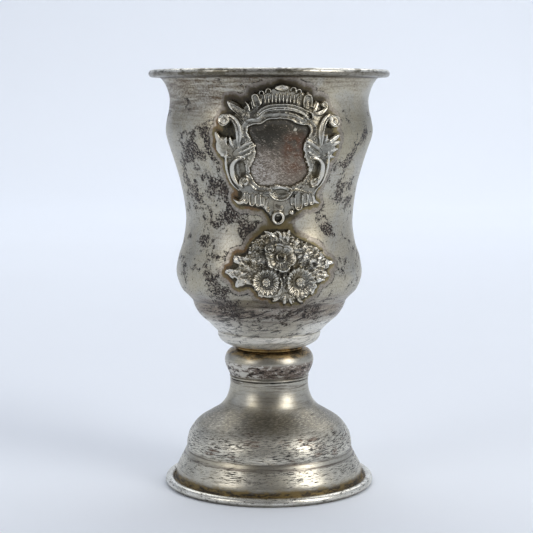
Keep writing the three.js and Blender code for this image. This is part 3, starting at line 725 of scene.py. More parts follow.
def ornament(name, node, relief, wrap_r, material, keep):
    """The relief as one closed casting on the bowl, with its hollows and worn heights marked."""
    h = relief.blurred(relief.h, 0.09)
    solid = h > SINK
    cell = solid[:-1, :-1] | solid[1:, :-1] | solid[:-1, 1:] | solid[1:, 1:]
    used = np.zeros(h.shape, bool)
    for a in (0, 1):
        for b in (0, 1):
            used[a:a + cell.shape[0], b:b + cell.shape[1]] |= cell
    number = np.full(h.shape, -1)
    number[used] = np.arange(used.sum())
    u, v = relief.u[used], relief.v[used]
    top = wrapped(u, v, np.maximum(h[used], SINK), wrap_r)
    back = wrapped(u, v, SINK - 0.05, wrap_r)
    i, j = np.nonzero(cell)
    front = np.stack([number[i, j], number[i + 1, j], number[i + 1, j + 1], number[i, j + 1]], 1)
    count = len(top)
    rear = front[:, ::-1] + count
    rims = []
    for di, dj, a, b in ((0, -1, 0, 1), (1, 0, 1, 2), (0, 1, 2, 3), (-1, 0, 3, 0)):
        ni, nj = i + di, j + dj
        off = (ni < 0) | (nj < 0) | (ni >= cell.shape[0]) | (nj >= cell.shape[1])
        off[~off] = ~cell[ni[~off], nj[~off]]
        start, end = front[off, b], front[off, a]
        rims.append(np.stack([start, end, end + count, start + count], 1))
    faces = np.concatenate([front, rear, *rims])
    piece = made(name, np.concatenate([top, back]), faces, "bowl", [node], material, 180)
    if keep < 1:
        thin_out(piece, keep)
    points = vertex_points(piece)
    pu, pv = bearing(points) * wrap_r, points[:, 2]
    shown = np.maximum(h, -0.1)
    hollow = relief.blurred(shown, 0.55) - shown
    broad = relief.blurred(shown, 1.6) - shown
    attribute(piece, "hollow", relief.sample(hollow, pu, pv) * 1.4 + relief.sample(broad, pu, pv) * 0.35)
    attribute(piece, "rise", relief.sample(h, pu, pv))


def thin_out(piece, keep):
    """Takes away the points that a casting's shape doesn't need."""
    step = piece.modifiers.new("thin", "DECIMATE")
    step.ratio = keep
    evaluated = piece.evaluated_get(bpy.context.evaluated_depsgraph_get())
    mesh = bpy.data.meshes.new_from_object(evaluated)
    piece.modifiers.remove(step)
    piece.data = mesh
    mesh.shade_smooth()


# ---- materials -----------------------------------------------------------------------------


class Nodes:
    """Short ways to add shader nodes to a tree. A value is a number or a node's output."""

    def __init__(self, tree):
        self.tree = tree

    def node(self, kind, **settings):
        node = self.tree.nodes.new(kind)
        for key, value in settings.items():
            setattr(node, key, value)
        return node

    def link(self, source, target):
        self.tree.links.new(source, target)

    def feed(self, target, value):
        if isinstance(value, bpy.types.NodeSocket):
            self.link(value, target)
        else:
            target.default_value = value

    def along_axes(self, vector):
        parts = self.node("ShaderNodeSeparateXYZ")
        self.link(vector, parts.inputs[0])
        return parts.outputs

    def step(self, value, low, high):
        """0 below low, 1 above high, smooth between. low may be the larger."""
        node = self.node("ShaderNodeMapRange", interpolation_type="SMOOTHSTEP")
        self.feed(node.inputs["Value"], value)
        ends = (low, high, 0, 1) if low < high else (high, low, 1, 0)
        for name, end in zip(("From Min", "From Max", "To Min", "To Max"), ends):
            node.inputs[name].default_value = end
        return node.outputs["Result"]

    def calc(self, operation, *values):
        node = self.node("ShaderNodeMath", operation=operation)
        for socket, value in zip(node.inputs, values):
            self.feed(socket, value)
        return node.outputs[0]

    def sum(self, *terms):
        """Adds (value, weight) pairs and plain numbers."""
        total = 0.0
        for term in terms:
            if isinstance(term, tuple):
                total = self.calc("MULTIPLY_ADD", *term, total)
            else:
                total = self.calc("ADD", total, term)
        return total

    def folded(self, operation, values):
        result = values[0]
        for value in values[1:]:
            result = self.calc(operation, result, value)
        return result

    def both(self, *values):
        return self.folded("MULTIPLY", values)

    def most(self, *values):
        return self.folded("MAXIMUM", values)

    def band(self, value, low, rising, falling, high):
        """1 between the two middle numbers, 0 outside the two outer ones."""
        return self.both(self.step(value, low, rising), self.step(value, high, falling))

    def colour(self, share, a, b):
        """Colour b over colour a by a share."""
        node = self.node("ShaderNodeMix", data_type="RGBA")
        self.feed(node.inputs["Factor"], share)
        for name, value in (("A", a), ("B", b)):
            socket = next(s for s in node.inputs if s.name == name and s.type == "RGBA")
            self.feed(socket, (*value, 1) if isinstance(value, tuple) else value)
        return next(s for s in node.outputs if s.type == "RGBA")

    def coat(self, base, colour, *shares):
        """A colour over a base by the product of some shares."""
        return self.colour(self.both(*shares), base, colour)


class Look(Nodes):
    """A procedural metal. Its sizes are in millimetres and its colours are linear."""

    def __init__(self, name):
        self.material = bpy.data.materials.new(name)
        self.material.use_nodes = True
        super().__init__(self.material.node_tree)
        self.shader = self.tree.nodes["Principled BSDF"]
        scaled = self.node("ShaderNodeVectorMath", operation="SCALE")
        scaled.inputs["Scale"].default_value = 1 / MM
        self.link(self.node("ShaderNodeTexCoord").outputs["Object"], scaled.inputs[0])
        self.place = scaled.outputs[0]
        self.x, self.y, self.z = self.along_axes(self.place)
        self.base = None

    def noise(self, size, detail=3.0, rough=0.55, warp=0.0, flat=(1, 1, 1), shift=0.0, slant=0.0):
        """Values round 0.5 with features of a size. flat squeezes the pattern along an axis, and
        slant makes level strokes climb to the right."""
        place = self.place
        if slant:
            tilted = self.node("ShaderNodeCombineXYZ")
            lifted = self.sum(self.z, (self.x, -slant))
            for socket, value in zip(tilted.inputs, (self.x, self.y, lifted)):
                self.feed(socket, value)
            place = tilted.outputs[0]
        moved = self.node("ShaderNodeVectorMath", operation="MULTIPLY_ADD")
        self.link(place, moved.inputs[0])
        moved.inputs[1].default_value = [f / size for f in flat]
        moved.inputs[2].default_value = (shift, 0.7 * shift, 1.3 * shift)
        texture = self.node("ShaderNodeTexNoise")
        self.link(moved.outputs[0], texture.inputs["Vector"])
        names = ("Scale", "Detail", "Roughness", "Distortion")
        for name, value in zip(names, (1, detail, rough, warp)):
            texture.inputs[name].default_value = value
        return texture.outputs["Fac"]

    def attribute(self, name):
        return self.node("ShaderNodeAttribute", attribute_name=name).outputs["Fac"]

    def bump(self, height, depth):
        """Height 0 to 1 as relief of a depth in millimetres."""
        node = self.node("ShaderNodeBump")
        node.inputs["Strength"].default_value = 1
        node.inputs["Distance"].default_value = depth * MM
        self.link(height, node.inputs["Height"])
        return node.outputs["Normal"]

    def lay(self, colour, *shares):
        """One more layer on the metal's base colour."""
        self.base = self.coat(self.base, colour, *shares)

    def finish(self, metallic, roughness, normal):
        self.link(self.base, self.shader.inputs["Base Color"])
        self.feed(self.shader.inputs["Metallic"], metallic)
        self.feed(self.shader.inputs["Roughness"], roughness)
        self.link(normal, self.shader.inputs["Normal"])
        return self.material


WARM = (0.50, 0.455, 0.35)
COOL = (0.46, 0.44, 0.38)
BRIGHT = (0.62, 0.59, 0.51)
SOOT = (0.028, 0.024, 0.021)
PLUM = (0.21, 0.165, 0.135)
OLIVE = (0.15, 0.115, 0.045)
RUST = (0.20, 0.118, 0.050)
BRASS = (0.42, 0.28, 0.11)


def bowl_silver():
    """Worn plate under ragged brown tarnish, cleaned in a band round the ornaments."""
    k = Look("bowl_silver")
    away = k.sum((k.attribute("near"), -1), REACH)
    shelter, field, bias = (k.attribute(name) for name in ("shelter", "field", "bias"))
    grain = k.noise(0.5, 4, 0.8, shift=1)
    speck = k.noise(0.62, 4, 0.80, flat=(1, 1, 1.15), shift=9)
    crumb = k.noise(1.5, 7, 0.80, 0.1, flat=(1, 1, 1.2), shift=31)
    cloud = k.noise(11, 5, 0.62, 0.3, shift=2)
    grit = k.noise(0.55, 2, 0.6, shift=19)
    brush = k.noise(2.6, 6, 0.74, 0.1, flat=(0.25, 0.25, 3.4), shift=3)
    patch = k.noise(7, 9, 0.66, 0.3, flat=(1, 1, 1.15), shift=17)

    # Bare plate: warm and cool clouds, dulled by grain and by level brush strokes.
    k.base = k.colour(k.step(cloud, 0.36, 0.62), COOL, WARM)
    k.lay((0.16, 0.135, 0.10), k.step(grain, 0.47, 0.66), 0.55)
    k.lay((0.15, 0.12, 0.09), k.step(brush, 0.5, 0.72), 0.40)
    k.lay(BRIGHT, k.step(speck, 0.40, 0.30), 0.45)
    yellowed = k.both(k.step(k.x, 8, 16), k.band(k.z, 97, 104, 111, 116))
    k.lay((0.18, 0.16, 0.09), yellowed, 0.36)

    # Brown veil under the lip with a painted shadow line under its bead, and a plum one on the lower bowl
    # with black scratches that climb. The underside and the cup get painted light, and the crease painted
    # shade.
    high = k.step(k.sum(k.z, (cloud, 14), (brush, 7), (k.step(k.x, 4, 15), -10)), 118, 129)
    veil = k.step(k.sum((brush, 0.6), (grain, 0.5)), 0.42, 0.68)
    k.lay((0.115, 0.078, 0.048), high, veil)
    k.lay(BRIGHT, high, k.step(brush, 0.46, 0.37), 0.3)
    # Painted shade: a dark line on the wall just under the rolled lip, where the bead overhangs it.
    k.lay((0.050, 0.042, 0.032), k.step(k.z, 122.7, 123.0), 0.7)
    low = k.step(k.sum(k.z, (brush, 7), (cloud, 5)), 68.5, 62)
    cup = k.step(k.z, 47.3, 46.7)
    under = k.step(k.sum(k.z, (cloud, 3)), 56, 51.5)
    low = k.both(low, k.sum((under, -0.75), (cup, -0.1), 1))
    # Painted reflected light: the downward-facing lower bowl is painted pale to brighten it where it faces
    # the shaded floor; the plum veil is thinned there too.
    k.lay((0.82, 0.79, 0.71), under, k.step(brush, 0.64, 0.52), 0.95)
    k.lay(PLUM, low, k.step(k.sum((brush, 0.7), (grain, 0.35)), 0.36, 0.62), 0.85)
    # Painted reflected light: the cup at the bowl's foot is painted bright for the same reason.
    k.lay(BRIGHT, cup, k.step(brush, 0.58, 0.42), 0.8)
    # Painted shade: a dark line along the concave crease at the bowl's waist, broken by the brush strokes.
    crease = k.both(k.band(k.z, 56.7, 57.1, 57.3, 57.9), k.step(brush, 0.42, 0.56))
    k.lay((0.055, 0.045, 0.04), crease, 0.85)
    scratch = k.noise(1.5, 6, 0.76, 0.2, flat=(0.36, 0.36, 2.1), shift=77, slant=0.25)
    scratch = k.step(k.sum(scratch, (bias, 0.4)), 0.542, 0.556)
    thinned = k.sum((under, -0.1), (cup, -0.4), 1)
    scratch = k.both(scratch, k.step(k.sum(k.z, (cloud, 4)), 60, 58), thinned)
    k.lay(SOOT, scratch, 0.9)

    # Ragged patches: brown with pale flecks and black crumbs, blackest along their edges.
    clear = k.step(away, 2.75, 2.45)
    edging = k.both(k.band(away, 2.3, 2.9, 3.6, 5.6), k.band(k.z, 82, 87, 104, 108))
    edging = k.both(edging, k.step(k.x, -7, -12))
    level = k.sum(patch, bias, (crumb, 0.42), (speck, 0.12), (grit, 0.10))
    level = k.sum(level, (edging, 0.13), (clear, -0.4), (cup, -0.1))
    dark = k.step(level, 0.886, 0.895)
    flecks = k.both(k.step(grit, 0.53, 0.60), k.step(level, 1.12, 1.03))
    dark = k.both(dark, k.sum((flecks, -0.85), 1))
    black = k.step(k.sum(grit, (speck, -0.6)), 0.22, 0.14)
    soil = k.colour(black, (0.100, 0.076, 0.058), (0.018, 0.014, 0.012))
    rim = k.both(k.step(level, 0.925, 0.895), k.step(speck, 0.40, 0.50))
    soil = k.coat(soil, (0.022, 0.017, 0.014), rim)
    k.lay(soil, dark)
    worms = k.both(k.step(crumb, 0.58, 0.60), k.step(level, 0.815, 0.85), k.step(away, 2.5, 2.7))
    worms = k.both(worms, k.step(k.z, 112, 107))
    k.lay(SOOT, worms)

    # The cleaned band, then the residue against the casting: rust, olive, and soot at the crest.
    band = k.both(k.step(away, 0.9, 1.15), clear)
    pinkish = k.colour(k.step(speck, 0.40, 0.60), (0.36, 0.32, 0.28), (0.17, 0.145, 0.12))
    k.lay(pinkish, band, 0.75)
    groove = k.both(k.band(away, 2.4, 2.6, 2.75, 3.0), k.step(k.sum(patch, bias), 0.44, 0.52))
    k.lay(SOOT, groove, k.step(speck, 0.42, 0.52))
    fray = k.noise(2.4, 6, 0.7, shift=5)
    ragged = k.sum(away, (fray, 2.0), (k.step(k.x, -2, -11), -0.35), -1.0)
    close = k.step(ragged, 1.5, 0.85)
    rusty = k.both(k.step(k.noise(4, 4, 0.65, shift=7), 0.44, 0.58), k.step(k.x, 6, -2))
    residue = k.colour(rusty, (0.235, 0.190, 0.085), RUST)
    inner = k.step(k.sum(ragged, (speck, 0.8)), 0.95, 0.55)
    residue = k.coat(residue, (0.040, 0.033, 0.020), inner, 0.6)
    residue = k.coat(residue, SOOT, k.step(grain, 0.45, 0.6), 0.45)
    k.lay(residue, close)
    halo = k.sum(ragged, (cloud, 2.5), (brush, 1.5), (speck, 1.2))
    crest = k.both(k.step(k.z, 111, 115), k.step(halo, 4.9, 3.0))
    smoke = k.colour(k.step(grain, 0.4, 0.6), (0.030, 0.024, 0.018), (0.062, 0.045, 0.028))
    k.lay(smoke, crest, 0.92)
    between = k.both(k.band(k.z, 77, 79, 83, 86), k.step(ragged, 2.6, 1.2), k.step(k.y, -20, -23))
    mud = k.colour(k.step(cloud, 0.45, 0.55), (0.045, 0.034, 0.02), OLIVE)
    k.lay(mud, between, 0.85)
    nook = k.step(k.sum(shelter, (speck, 0.2)), 0.40, 0.52)
    murk = k.colour(k.step(speck, 0.42, 0.60), (0.070, 0.058, 0.030), (0.020, 0.017, 0.012))
    k.lay(murk, nook)

    # The cartouche's field: rough and scratched, black at the top, brown below, rusty at the right.
    pits = k.noise(0.48, 5, 0.82, 0.3, flat=(0.8, 0.8, 1.3), shift=51)
    strokes = k.noise(1.3, 6, 0.8, 0.2, flat=(0.6, 0.6, 2.2), shift=57, slant=-0.6)
    fade = k.step(k.sum(k.z, (k.noise(5, 5, 0.65, 0.4, shift=61), 14)), 106, 114)
    panel = k.colour(fade, (0.20, 0.163, 0.127), (0.054, 0.049, 0.038))
    rust = k.both(k.step(k.x, -0.5, 3.5), k.band(k.z, 94, 99, 105, 108.5))
    rust = k.both(rust, k.step(k.noise(3, 6, 0.7, shift=71), 0.40, 0.62), 0.9)
    panel = k.coat(panel, (0.135, 0.062, 0.035), rust)
    left = k.step(k.sum(k.x, (k.z, 0.8)), 84, 68)  # paler towards the lower left
    worn = k.step(k.sum(pits, (strokes, 0.6), (k.step(k.z, 107, 98), 0.06), (left, 0.09)), 0.89, 0.96)
    panel = k.coat(panel, k.colour(left, (0.40, 0.33, 0.255), (0.60, 0.57, 0.52)), worn, 0.9)
    panel = k.coat(panel, (0.030, 0.023, 0.020), k.step(pits, 0.44, 0.35), 0.85)
    across, up = k.sum(k.x, -4.7), k.sum(k.z, -108.4)
    nick = k.calc("SQRT", k.sum(k.both(across, across), k.both(up, up)))
    panel = k.coat(panel, BRIGHT, k.step(k.sum(nick, (speck, 1.6)), 1.35, 1.1), 0.7)
    k.lay(panel, field)

    foul = k.most(dark, worms, close, crest, nook, k.both(scratch, 0.8))
    # The painted pale underside is also made less metallic, so that it brightens as a diffuse surface.
    dull_under = k.both(under, k.sum((foul, -1), 1))
    metallic = k.sum((foul, -0.55), (field, -0.2), (dull_under, -0.4), 1.0)
    rough = k.sum((foul, 0.12), (brush, 0.14), (grain, 0.2), (high, 0.04), 0.17)
    height = k.sum((foul, -0.5), (grain, 0.8), (crumb, 0.3), (brush, 0.4), (k.both(pits, field), 2.0))
    return k.finish(metallic, rough, k.bump(height, 0.055))


def foot_silver():
    """Satin plate with level streaks and black flecks, and brown in the groove and on the knop."""
    k = Look("foot_silver")
    cloud = k.noise(12, 5, 0.62, 0.3, shift=5)
    grain = k.noise(0.4, 3, 0.7, shift=6)
    brush = k.noise(2.2, 6, 0.74, 0.05, flat=(0.16, 0.16, 3.6), shift=13)
    fleck = k.noise(0.56, 6, 0.80, 0.2, flat=(0.26, 0.26, 2.2), shift=37, slant=0.06)
    hair = k.noise(0.36, 4, 0.75, 0.1, flat=(0.3, 0.3, 1.8), shift=61, slant=0.1)
    where = k.noise(8, 4, 0.6, 0.3, shift=43)
    k.base = k.colour(k.step(cloud, 0.38, 0.62), COOL, WARM)
    k.lay((0.18, 0.155, 0.12), k.step(grain, 0.48, 0.75), 0.3)
    k.lay((0.14, 0.115, 0.09), k.step(brush, 0.48, 0.70), 0.5)
    k.lay((0.15, 0.13, 0.10), k.step(hair, 0.50, 0.62), 0.3)
    k.lay(BRIGHT, k.step(hair, 0.44, 0.34), 0.3)

    # Worn and flecked round the belly and the skirt, rougher on the shoulder and painted darker there as a
    # dark reflection, with painted shade on the ledges.
    belly = k.band(k.z, 9.5, 12.5, 16, 21)
    skirt = k.both(k.band(k.z, 3, 6, 8.5, 10.5), 0.75)
    worn = k.most(belly, skirt)
    shoulder = k.both(k.step(k.sum(k.z, (where, 4), (brush, 3)), 19.5, 23), k.step(k.z, 25.5, 22.5))
    # Painted shade: the upward-facing shoulder is darkened to stand in for the dark reflection of the
    # bowl's underside.
    k.lay((0.145, 0.132, 0.108), shoulder, k.sum((k.step(hair, 0.38, 0.54), 0.5), 0.36))
    cuts = k.step(k.noise(1.5, 5, 0.8, 0.2, flat=(0.3, 0.3, 1.5), shift=93, slant=0.5), 0.625, 0.64)
    k.lay(SOOT, cuts, shoulder, 0.85)
    level = k.sum((fleck, 1), (where, 0.26), (worn, 0.125))
    flecks = k.step(level, 0.775, 0.79)
    k.lay(SOOT, flecks)
    k.lay((0.72, 0.69, 0.60), worn, k.step(fleck, 0.57, 0.44), 0.92)
    russet = k.both(k.step(where, 0.54, 0.60), belly, k.step(brush, 0.45, 0.6))
    k.lay((0.16, 0.085, 0.05), russet, 0.7)
    # Painted shade: dark bands along the ledges at the dome's foot and on the flare, broken by the brush
    # strokes.
    for at, high in ((10.9, 0.9), (9.3, 0.7)):
        ledge_shade = k.band(k.z, at - 0.7, at - 0.1, at + 0.15, at + high)
        k.lay((0.10, 0.08, 0.068), ledge_shade, k.step(brush, 0.36, 0.60), 0.85)

    # Knop: mottled brown under a bright shoulder, brassy round its top.
    mottle = k.noise(1.8, 7, 0.78, 0.3, flat=(0.6, 0.6, 1.7), shift=88)
    height = k.sum(k.z, (mottle, 2.5))
    waist = k.band(height, 34.2, 35.4, 38.6, 39.7)
    browned = k.both(waist, k.step(k.sum(mottle, (where, 0.6)), 0.66, 0.80))
    k.lay((0.14, 0.094, 0.070), browned, 0.82)
    k.lay(SOOT, waist, k.step(mottle, 0.535, 0.565))
    flaking = k.step(k.sum(mottle, (k.step(k.x, 2, -10), -0.08)), 0.44, 0.41)
    k.lay((0.64, 0.61, 0.54), waist, flaking)
    neck = k.both(k.band(k.z, 28.5, 30.5, 34.0, 34.6), k.step(brush, 0.52, 0.62))
    k.lay((0.12, 0.098, 0.078), neck, 0.7)
    brass = k.step(k.sum((k.z, 1), (where, 2.4)), 40.5, 41.6)
    k.lay(k.colour(k.step(mottle, 0.42, 0.58), BRASS, (0.05, 0.034, 0.016)), brass, 0.85)
    for at, low in ((32.45, 0.50), (31.5, 0.57)):
        seam = k.band(k.z, at - 0.3, at - 0.1, at + 0.1, at + 0.3)
        k.lay(SOOT, seam, k.step(mottle, low, low + 0.06), 0.8)

    # Groove over the ring: olive and brown dirt, thick at the bottom.
    dirt = k.step(k.sum((k.z, 1), (where, 1.8), (mottle, 2.6)), 6.9, 5.2)
    thick = k.step(k.sum(mottle, (where, 0.5), (hair, 0.25)), 0.79, 0.94)
    dirt_colour = k.colour(thick, (0.205, 0.146, 0.056), (0.040, 0.031, 0.021))
    k.lay(dirt_colour, dirt)

    foul = k.most(flecks, k.both(waist, 0.6), k.both(dirt, 0.9))
    metallic = k.sum((foul, -0.5), 1.0)
    rough = k.sum((foul, 0.14), (brush, 0.16), (grain, 0.12), (shoulder, 0.08), 0.19)
    raised = k.sum((foul, -0.5), (grain, 0.5), (brush, 0.6), (hair, 0.3))
    return k.finish(metallic, rough, k.bump(raised, 0.045))


def ring_silver():
    """Wire handled bright on its outside, tarnished in between, with painted shade on the lip bead's lower
    half and on the foot wire where it rests.
    """
    k = Look("ring_silver")
    cloud = k.noise(9, 4, 0.6, 0.5, shift=3)
    grain = k.noise(0.4, 3, 0.7, shift=8)
    fleck = k.noise(1.1, 6, 0.75, 0.2, flat=(0.6, 0.6, 2.2), shift=23)
    k.base = k.colour(k.step(cloud, 0.38, 0.62), (0.64, 0.62, 0.55), (0.82, 0.80, 0.73))
    k.lay((0.17, 0.145, 0.11), k.step(grain, 0.46, 0.7), 0.25)
    k.lay((0.10, 0.075, 0.05), k.step(fleck, 0.53, 0.62), 0.7)
    k.lay(SOOT, k.step(fleck, 0.585, 0.61))
    # Painted shade: the lower half of the lip bead is darkened, as its underside would be in shade.
    under = k.both(k.step(k.z, 120, 121), k.step(k.sum(k.z, (fleck, 0.8)), 125.3, 124.7))
    k.lay((0.11, 0.092, 0.062), under, 0.75)
    # Painted shade: the foot wire's lowest band, where it rests on the floor, is darkened for the contact
    # shadow.
    contact_shade = k.both(k.step(k.sum(k.z, (fleck, 0.8)), 1.5, 0.9), 0.7)
    k.lay((0.10, 0.088, 0.070), contact_shade)
    spots = k.noise(3.0, 6, 0.8, flat=(0.6, 0.6, 1.6), shift=41)
    stain = k.both(k.step(k.z, 120, 121), k.step(k.sum(spots, (k.step(k.x, 0, -12), 0.06)), 0.53, 0.60))
    k.lay((0.085, 0.072, 0.042), stain, 0.75)
    rough = k.sum((fleck, 0.25), (grain, 0.1), 0.12)
    return k.finish(0.92, rough, k.bump(k.sum((fleck, -0.6), (grain, 0.4)), 0.04))


def cast_silver():
    """Casting with bright worn heights, grey flanks and olive-black hollows."""
    k = Look("cast_silver")
    hollow = k.attribute("hollow")
    rise = k.attribute("rise")
    cloud = k.noise(6, 4, 0.65, 0.3, shift=2)
    fine = k.noise(0.6, 5, 0.8, 0.2, shift=29)
    k.base = k.colour(k.step(cloud, 0.38, 0.62), (0.285, 0.277, 0.243), (0.32, 0.29, 0.225))
    k.lay((0.10, 0.086, 0.066), k.step(fine, 0.46, 0.64), 0.55)
    worn = k.step(k.sum((hollow, -1), (fine, -0.5), (k.step(k.z, 84, 80), 0.08), 0.45), 0.34, 0.62)
    shine = k.colour(k.step(cloud, 0.40, 0.60), (0.69, 0.67, 0.60), (0.70, 0.65, 0.54))
    k.lay(shine, worn, 0.85)
    dirt = k.step(k.sum(hollow, (fine, 0.8), (k.step(k.z, 84, 80), -0.08)), 0.56, 1.20)
    grime = k.colour(k.step(cloud, 0.44, 0.60), (0.056, 0.050, 0.040), (0.086, 0.070, 0.036))
    k.lay(grime, dirt)
    skirt = k.step(k.sum(rise, (fine, 0.6)), 0.95, 0.40)
    mire = k.colour(k.step(cloud, 0.42, 0.58), (0.10, 0.078, 0.030), (0.040, 0.032, 0.022))
    k.lay(mire, skirt)
    metallic = k.sum((dirt, -0.45), 1.0)
    rough = k.sum((dirt, 0.2), (fine, 0.2), 0.10)
    return k.finish(metallic, rough, k.bump(fine, 0.07))


def plain_metal(name, base_colour, dark, size, rough):
    """Hardware: turned brass or steel, dulled unevenly."""
    k = Look(name)
    cloud = k.noise(size, 5, 0.65, 0.3, shift=11)
    turned_marks = k.noise(1.0, 3, 0.6, 0, flat=(0.4, 0.4, 5), shift=21)
    k.base = k.colour(k.step(cloud, 0.4, 0.62), base_colour, dark)
    roughness = k.sum((cloud, 0.25), (turned_marks, 0.12), rough)
    return k.finish(0.95, roughness, k.bump(turned_marks, 0.02))


def stage_paint(name, colour, rough):
    """Paper sweep with a faint mottle."""
    k = Look(name)
    cloud = k.noise(180, 3, 0.5)
    k.base = k.colour(cloud, colour, tuple(0.97 * c for c in colour))
    return k.finish(0.0, rough, k.bump(k.noise(3, 2), 0.01))


# ---- pieces --------------------------------------------------------------------------------
STEP = 0.12  # grid of the castings, in millimetres
KEEP = 0.45  # share of a casting's faces kept

BOWL_LOOK = bowl_silver()
FOOT_LOOK = foot_silver()
RING_LOOK = ring_silver()
CAST_LOOK = cast_silver()
BRASS_LOOK = plain_metal("dull_brass", BRASS, (0.10, 0.07, 0.035), 5, 0.22)
STEEL_LOOK = plain_metal("dull_steel", (0.42, 0.42, 0.41), (0.16, 0.13, 0.11), 4, 0.3)

FRONT = math.radians(52)  # half the angle that the ornaments take


def bowl_angles():
    """Fine steps under the ornaments, coarser ones round the back."""
    front = np.linspace(-FRONT, FRONT, 240)
    rest = np.linspace(FRONT, 2 * math.pi - FRONT, 150)[1:-1]
    return np.concatenate([front, rest])


def bowl(cartouche, spray):
    inner_side = BOWL_SIDE[::3] - WALL * normals(BOWL_SIDE)[::3]
    lip = [
        (LIP_EDGE_R, 123.6), (LIP_EDGE_R, HEIGHT - 0.25), (LIP_EDGE_R - 0.15, HEIGHT - 0.1),
        (LIP_EDGE_R - 0.6, HEIGHT - 0.12), (32.2, 124.5),
    ]
    floor = BOWL_FLOOR_Z + WALL
    inside_floor = smooth([(14.2, 47.4), (11.5, 46.4), (8, floor), (0, floor)], 12)
    under = [(0, BOWL_FLOOR_Z), (9.5, BOWL_FLOOR_Z)]
    section = joined(under, BOWL_SIDE, lip, inner_side[::-1], inside_floor)
    points, faces = turned(section, bowl_angles())
    hold = within(points[:, 2], 50, 121, 6)
    shaped = dented(points, 0.10, 26, 3)
    shaped = dented(shaped, 0.035, 8, 4)
    points = points + (shaped - points) * hold[:, None]
    piece = made("bowl_shell", points, faces, "bowl", ["bowl"], BOWL_LOOK)

    points = vertex_points(piece)
    angle = bearing(points)
    z = points[:, 2]
    outside = axis_distance(points) > side_radius(z) - 0.45
    near, shelter, field = np.zeros((3, len(z)))
    for relief, wrap_r in ((cartouche, CARTOUCHE_WRAP_R), (spray, SPRAY_WRAP_R)):
        u = angle * wrap_r
        covered = outside & (u > relief.us[0]) & (u < relief.us[-1])
        covered &= (z > relief.vs[0]) & (z < relief.vs[-1])
        cast = relief.h > 0
        closeness = REACH - relief.distance(cast, REACH)
        for values, shares in ((near, closeness), (shelter, relief.blurred(cast * 1.0, 1.3))):
            values[covered] = np.maximum(values[covered], relief.sample(shares, u, z)[covered])
    u = angle * CARTOUCHE_WRAP_R
    for at, height in RECESSES:
        spot = np.exp(-(((u - at) / 1.9) ** 2) - ((z - height) / 1.7) ** 2)
        shelter[outside] = np.maximum(shelter, 0.8 * spot)[outside]
    inside = cartouche.edge_distance(FIELD)
    covered = outside & (np.abs(u) < 11) & (z > 91) & (z < 113)
    field[covered] = np.clip(cartouche.sample(inside, u, z)[covered] / 0.3 + 0.5, 0, 1)
    bias = tarnish_bias(angle, z, outside)
    for name, values in (("near", near), ("shelter", shelter), ("field", field), ("bias", bias)):
        attribute(piece, name, values)


# Dirty recesses between an upper scroll and the leaves under it, as across and height.
RECESSES = [(-14.9, 107.9), (15.3, 107.8)]

# Where the plate is darkest: angle from the front in degrees, height, half-width, half-height
# and weight.
STAINS = [
    (-17, 77.5, 7, 4, 0.32), (-50, 105, 13, 7, 0.19), (-60, 95, 11, 5, 0.12),
    (-38, 90, 12, 5, 0.17), (-26, 86, 8, 4, 0.17), (-43, 82, 9, 4, 0.13), (-57, 86, 8, 4, 0.09),
    (-46, 69, 9, 5, 0.16), (-42, 63, 15, 3.5, 0.19), (-32, 55, 20, 3.5, 0.20),
    (35, 79.5, 9, 4, 0.21), (43, 88, 6, 3, 0.20), (52, 83, 6, 3, 0.15), (60, 87, 9, 5, 0.13),
    (31, 62, 9, 2.5, 0.12), (45, 67, 9, 5, 0.10), (30, 56, 10, 3, 0.13), (8, 53.5, 20, 2, 0.10),
    (45, 98, 5, 5, 0.17), (-72, 84, 9, 9, 0.07), (70, 74, 10, 8, 0.06), (60, 104, 12, 6, 0.05),
]


def tarnish_bias(angle, z, outside):
    bias = np.full(len(z), -0.055)
    for at, height, wide, tall, weight in STAINS:
        off = (angle - math.radians(at) + math.pi) % (2 * math.pi) - math.pi
        bias += weight * np.exp(-((off / math.radians(wide)) ** 2) - ((z - height) / tall) ** 2)
    back = np.abs(angle) > 1.4
    bias[back] += 0.05 * np.clip((np.abs(angle[back]) - 1.4) / 0.5, 0, 1)
    return np.where(outside, bias, -0.1)


def lip_ring():
    wobble = 0.09  # room for the dents, inside the CAD radius
    nose = arc(LIP_R - wobble - LIP_WIRE_R, HEIGHT - LIP_WIRE_R, LIP_WIRE_R, -90, 90, 16)
    inside, low = LIP_EDGE_R + 0.03, HEIGHT - 2 * LIP_WIRE_R
    corner = [(inside + 0.2, HEIGHT), (inside, HEIGHT - 0.2), (inside, low + 0.2), (inside + 0.2, low)]
    points, faces = turned(joined(nose, corner), even_angles(256))
    points = dented(points, 0.04, 20, 8)
    made("rolled_lip", points, faces, "bowl", ["lip_ring"], RING_LOOK)


def bowl_base():
    inner = BASE_Z + 0.9
    inside = [(14.8, 46.35), (14.7, 45.4), (13.6, 44.2), (11.6, inner), (3.2, inner), (3.2, BASE_Z)]
    rim = [(15.66, 46.95), (15.5, 47.0), (14.9, 46.6)]
    points, faces = turned(joined(smooth(BASE_CUP, 24), rim, inside), even_angles(192))
    made("base_cup", points, faces, "bowl", ["bowl_base"], BOWL_LOOK)


def knop():
    hole_r = 6.1
    bead = arc(11.7, KNOP_BOTTOM + 0.42, 0.42, 75, -90, 8)
    inside = [
        (11.2, KNOP_BOTTOM), (11.2, 33.8), (12.3, 36.4), (12.7, 38), (12.3, 39.3),
        (11, KNOP_TOP - WALL), (hole_r, KNOP_TOP - WALL),
    ]
    section = joined([(hole_r, KNOP_TOP)], smooth(KNOP, 40), bead, inside)
    points, faces = turned(section, even_angles(192))
    made("knop_cap", points, faces, "foot", ["knop"], FOOT_LOOK)


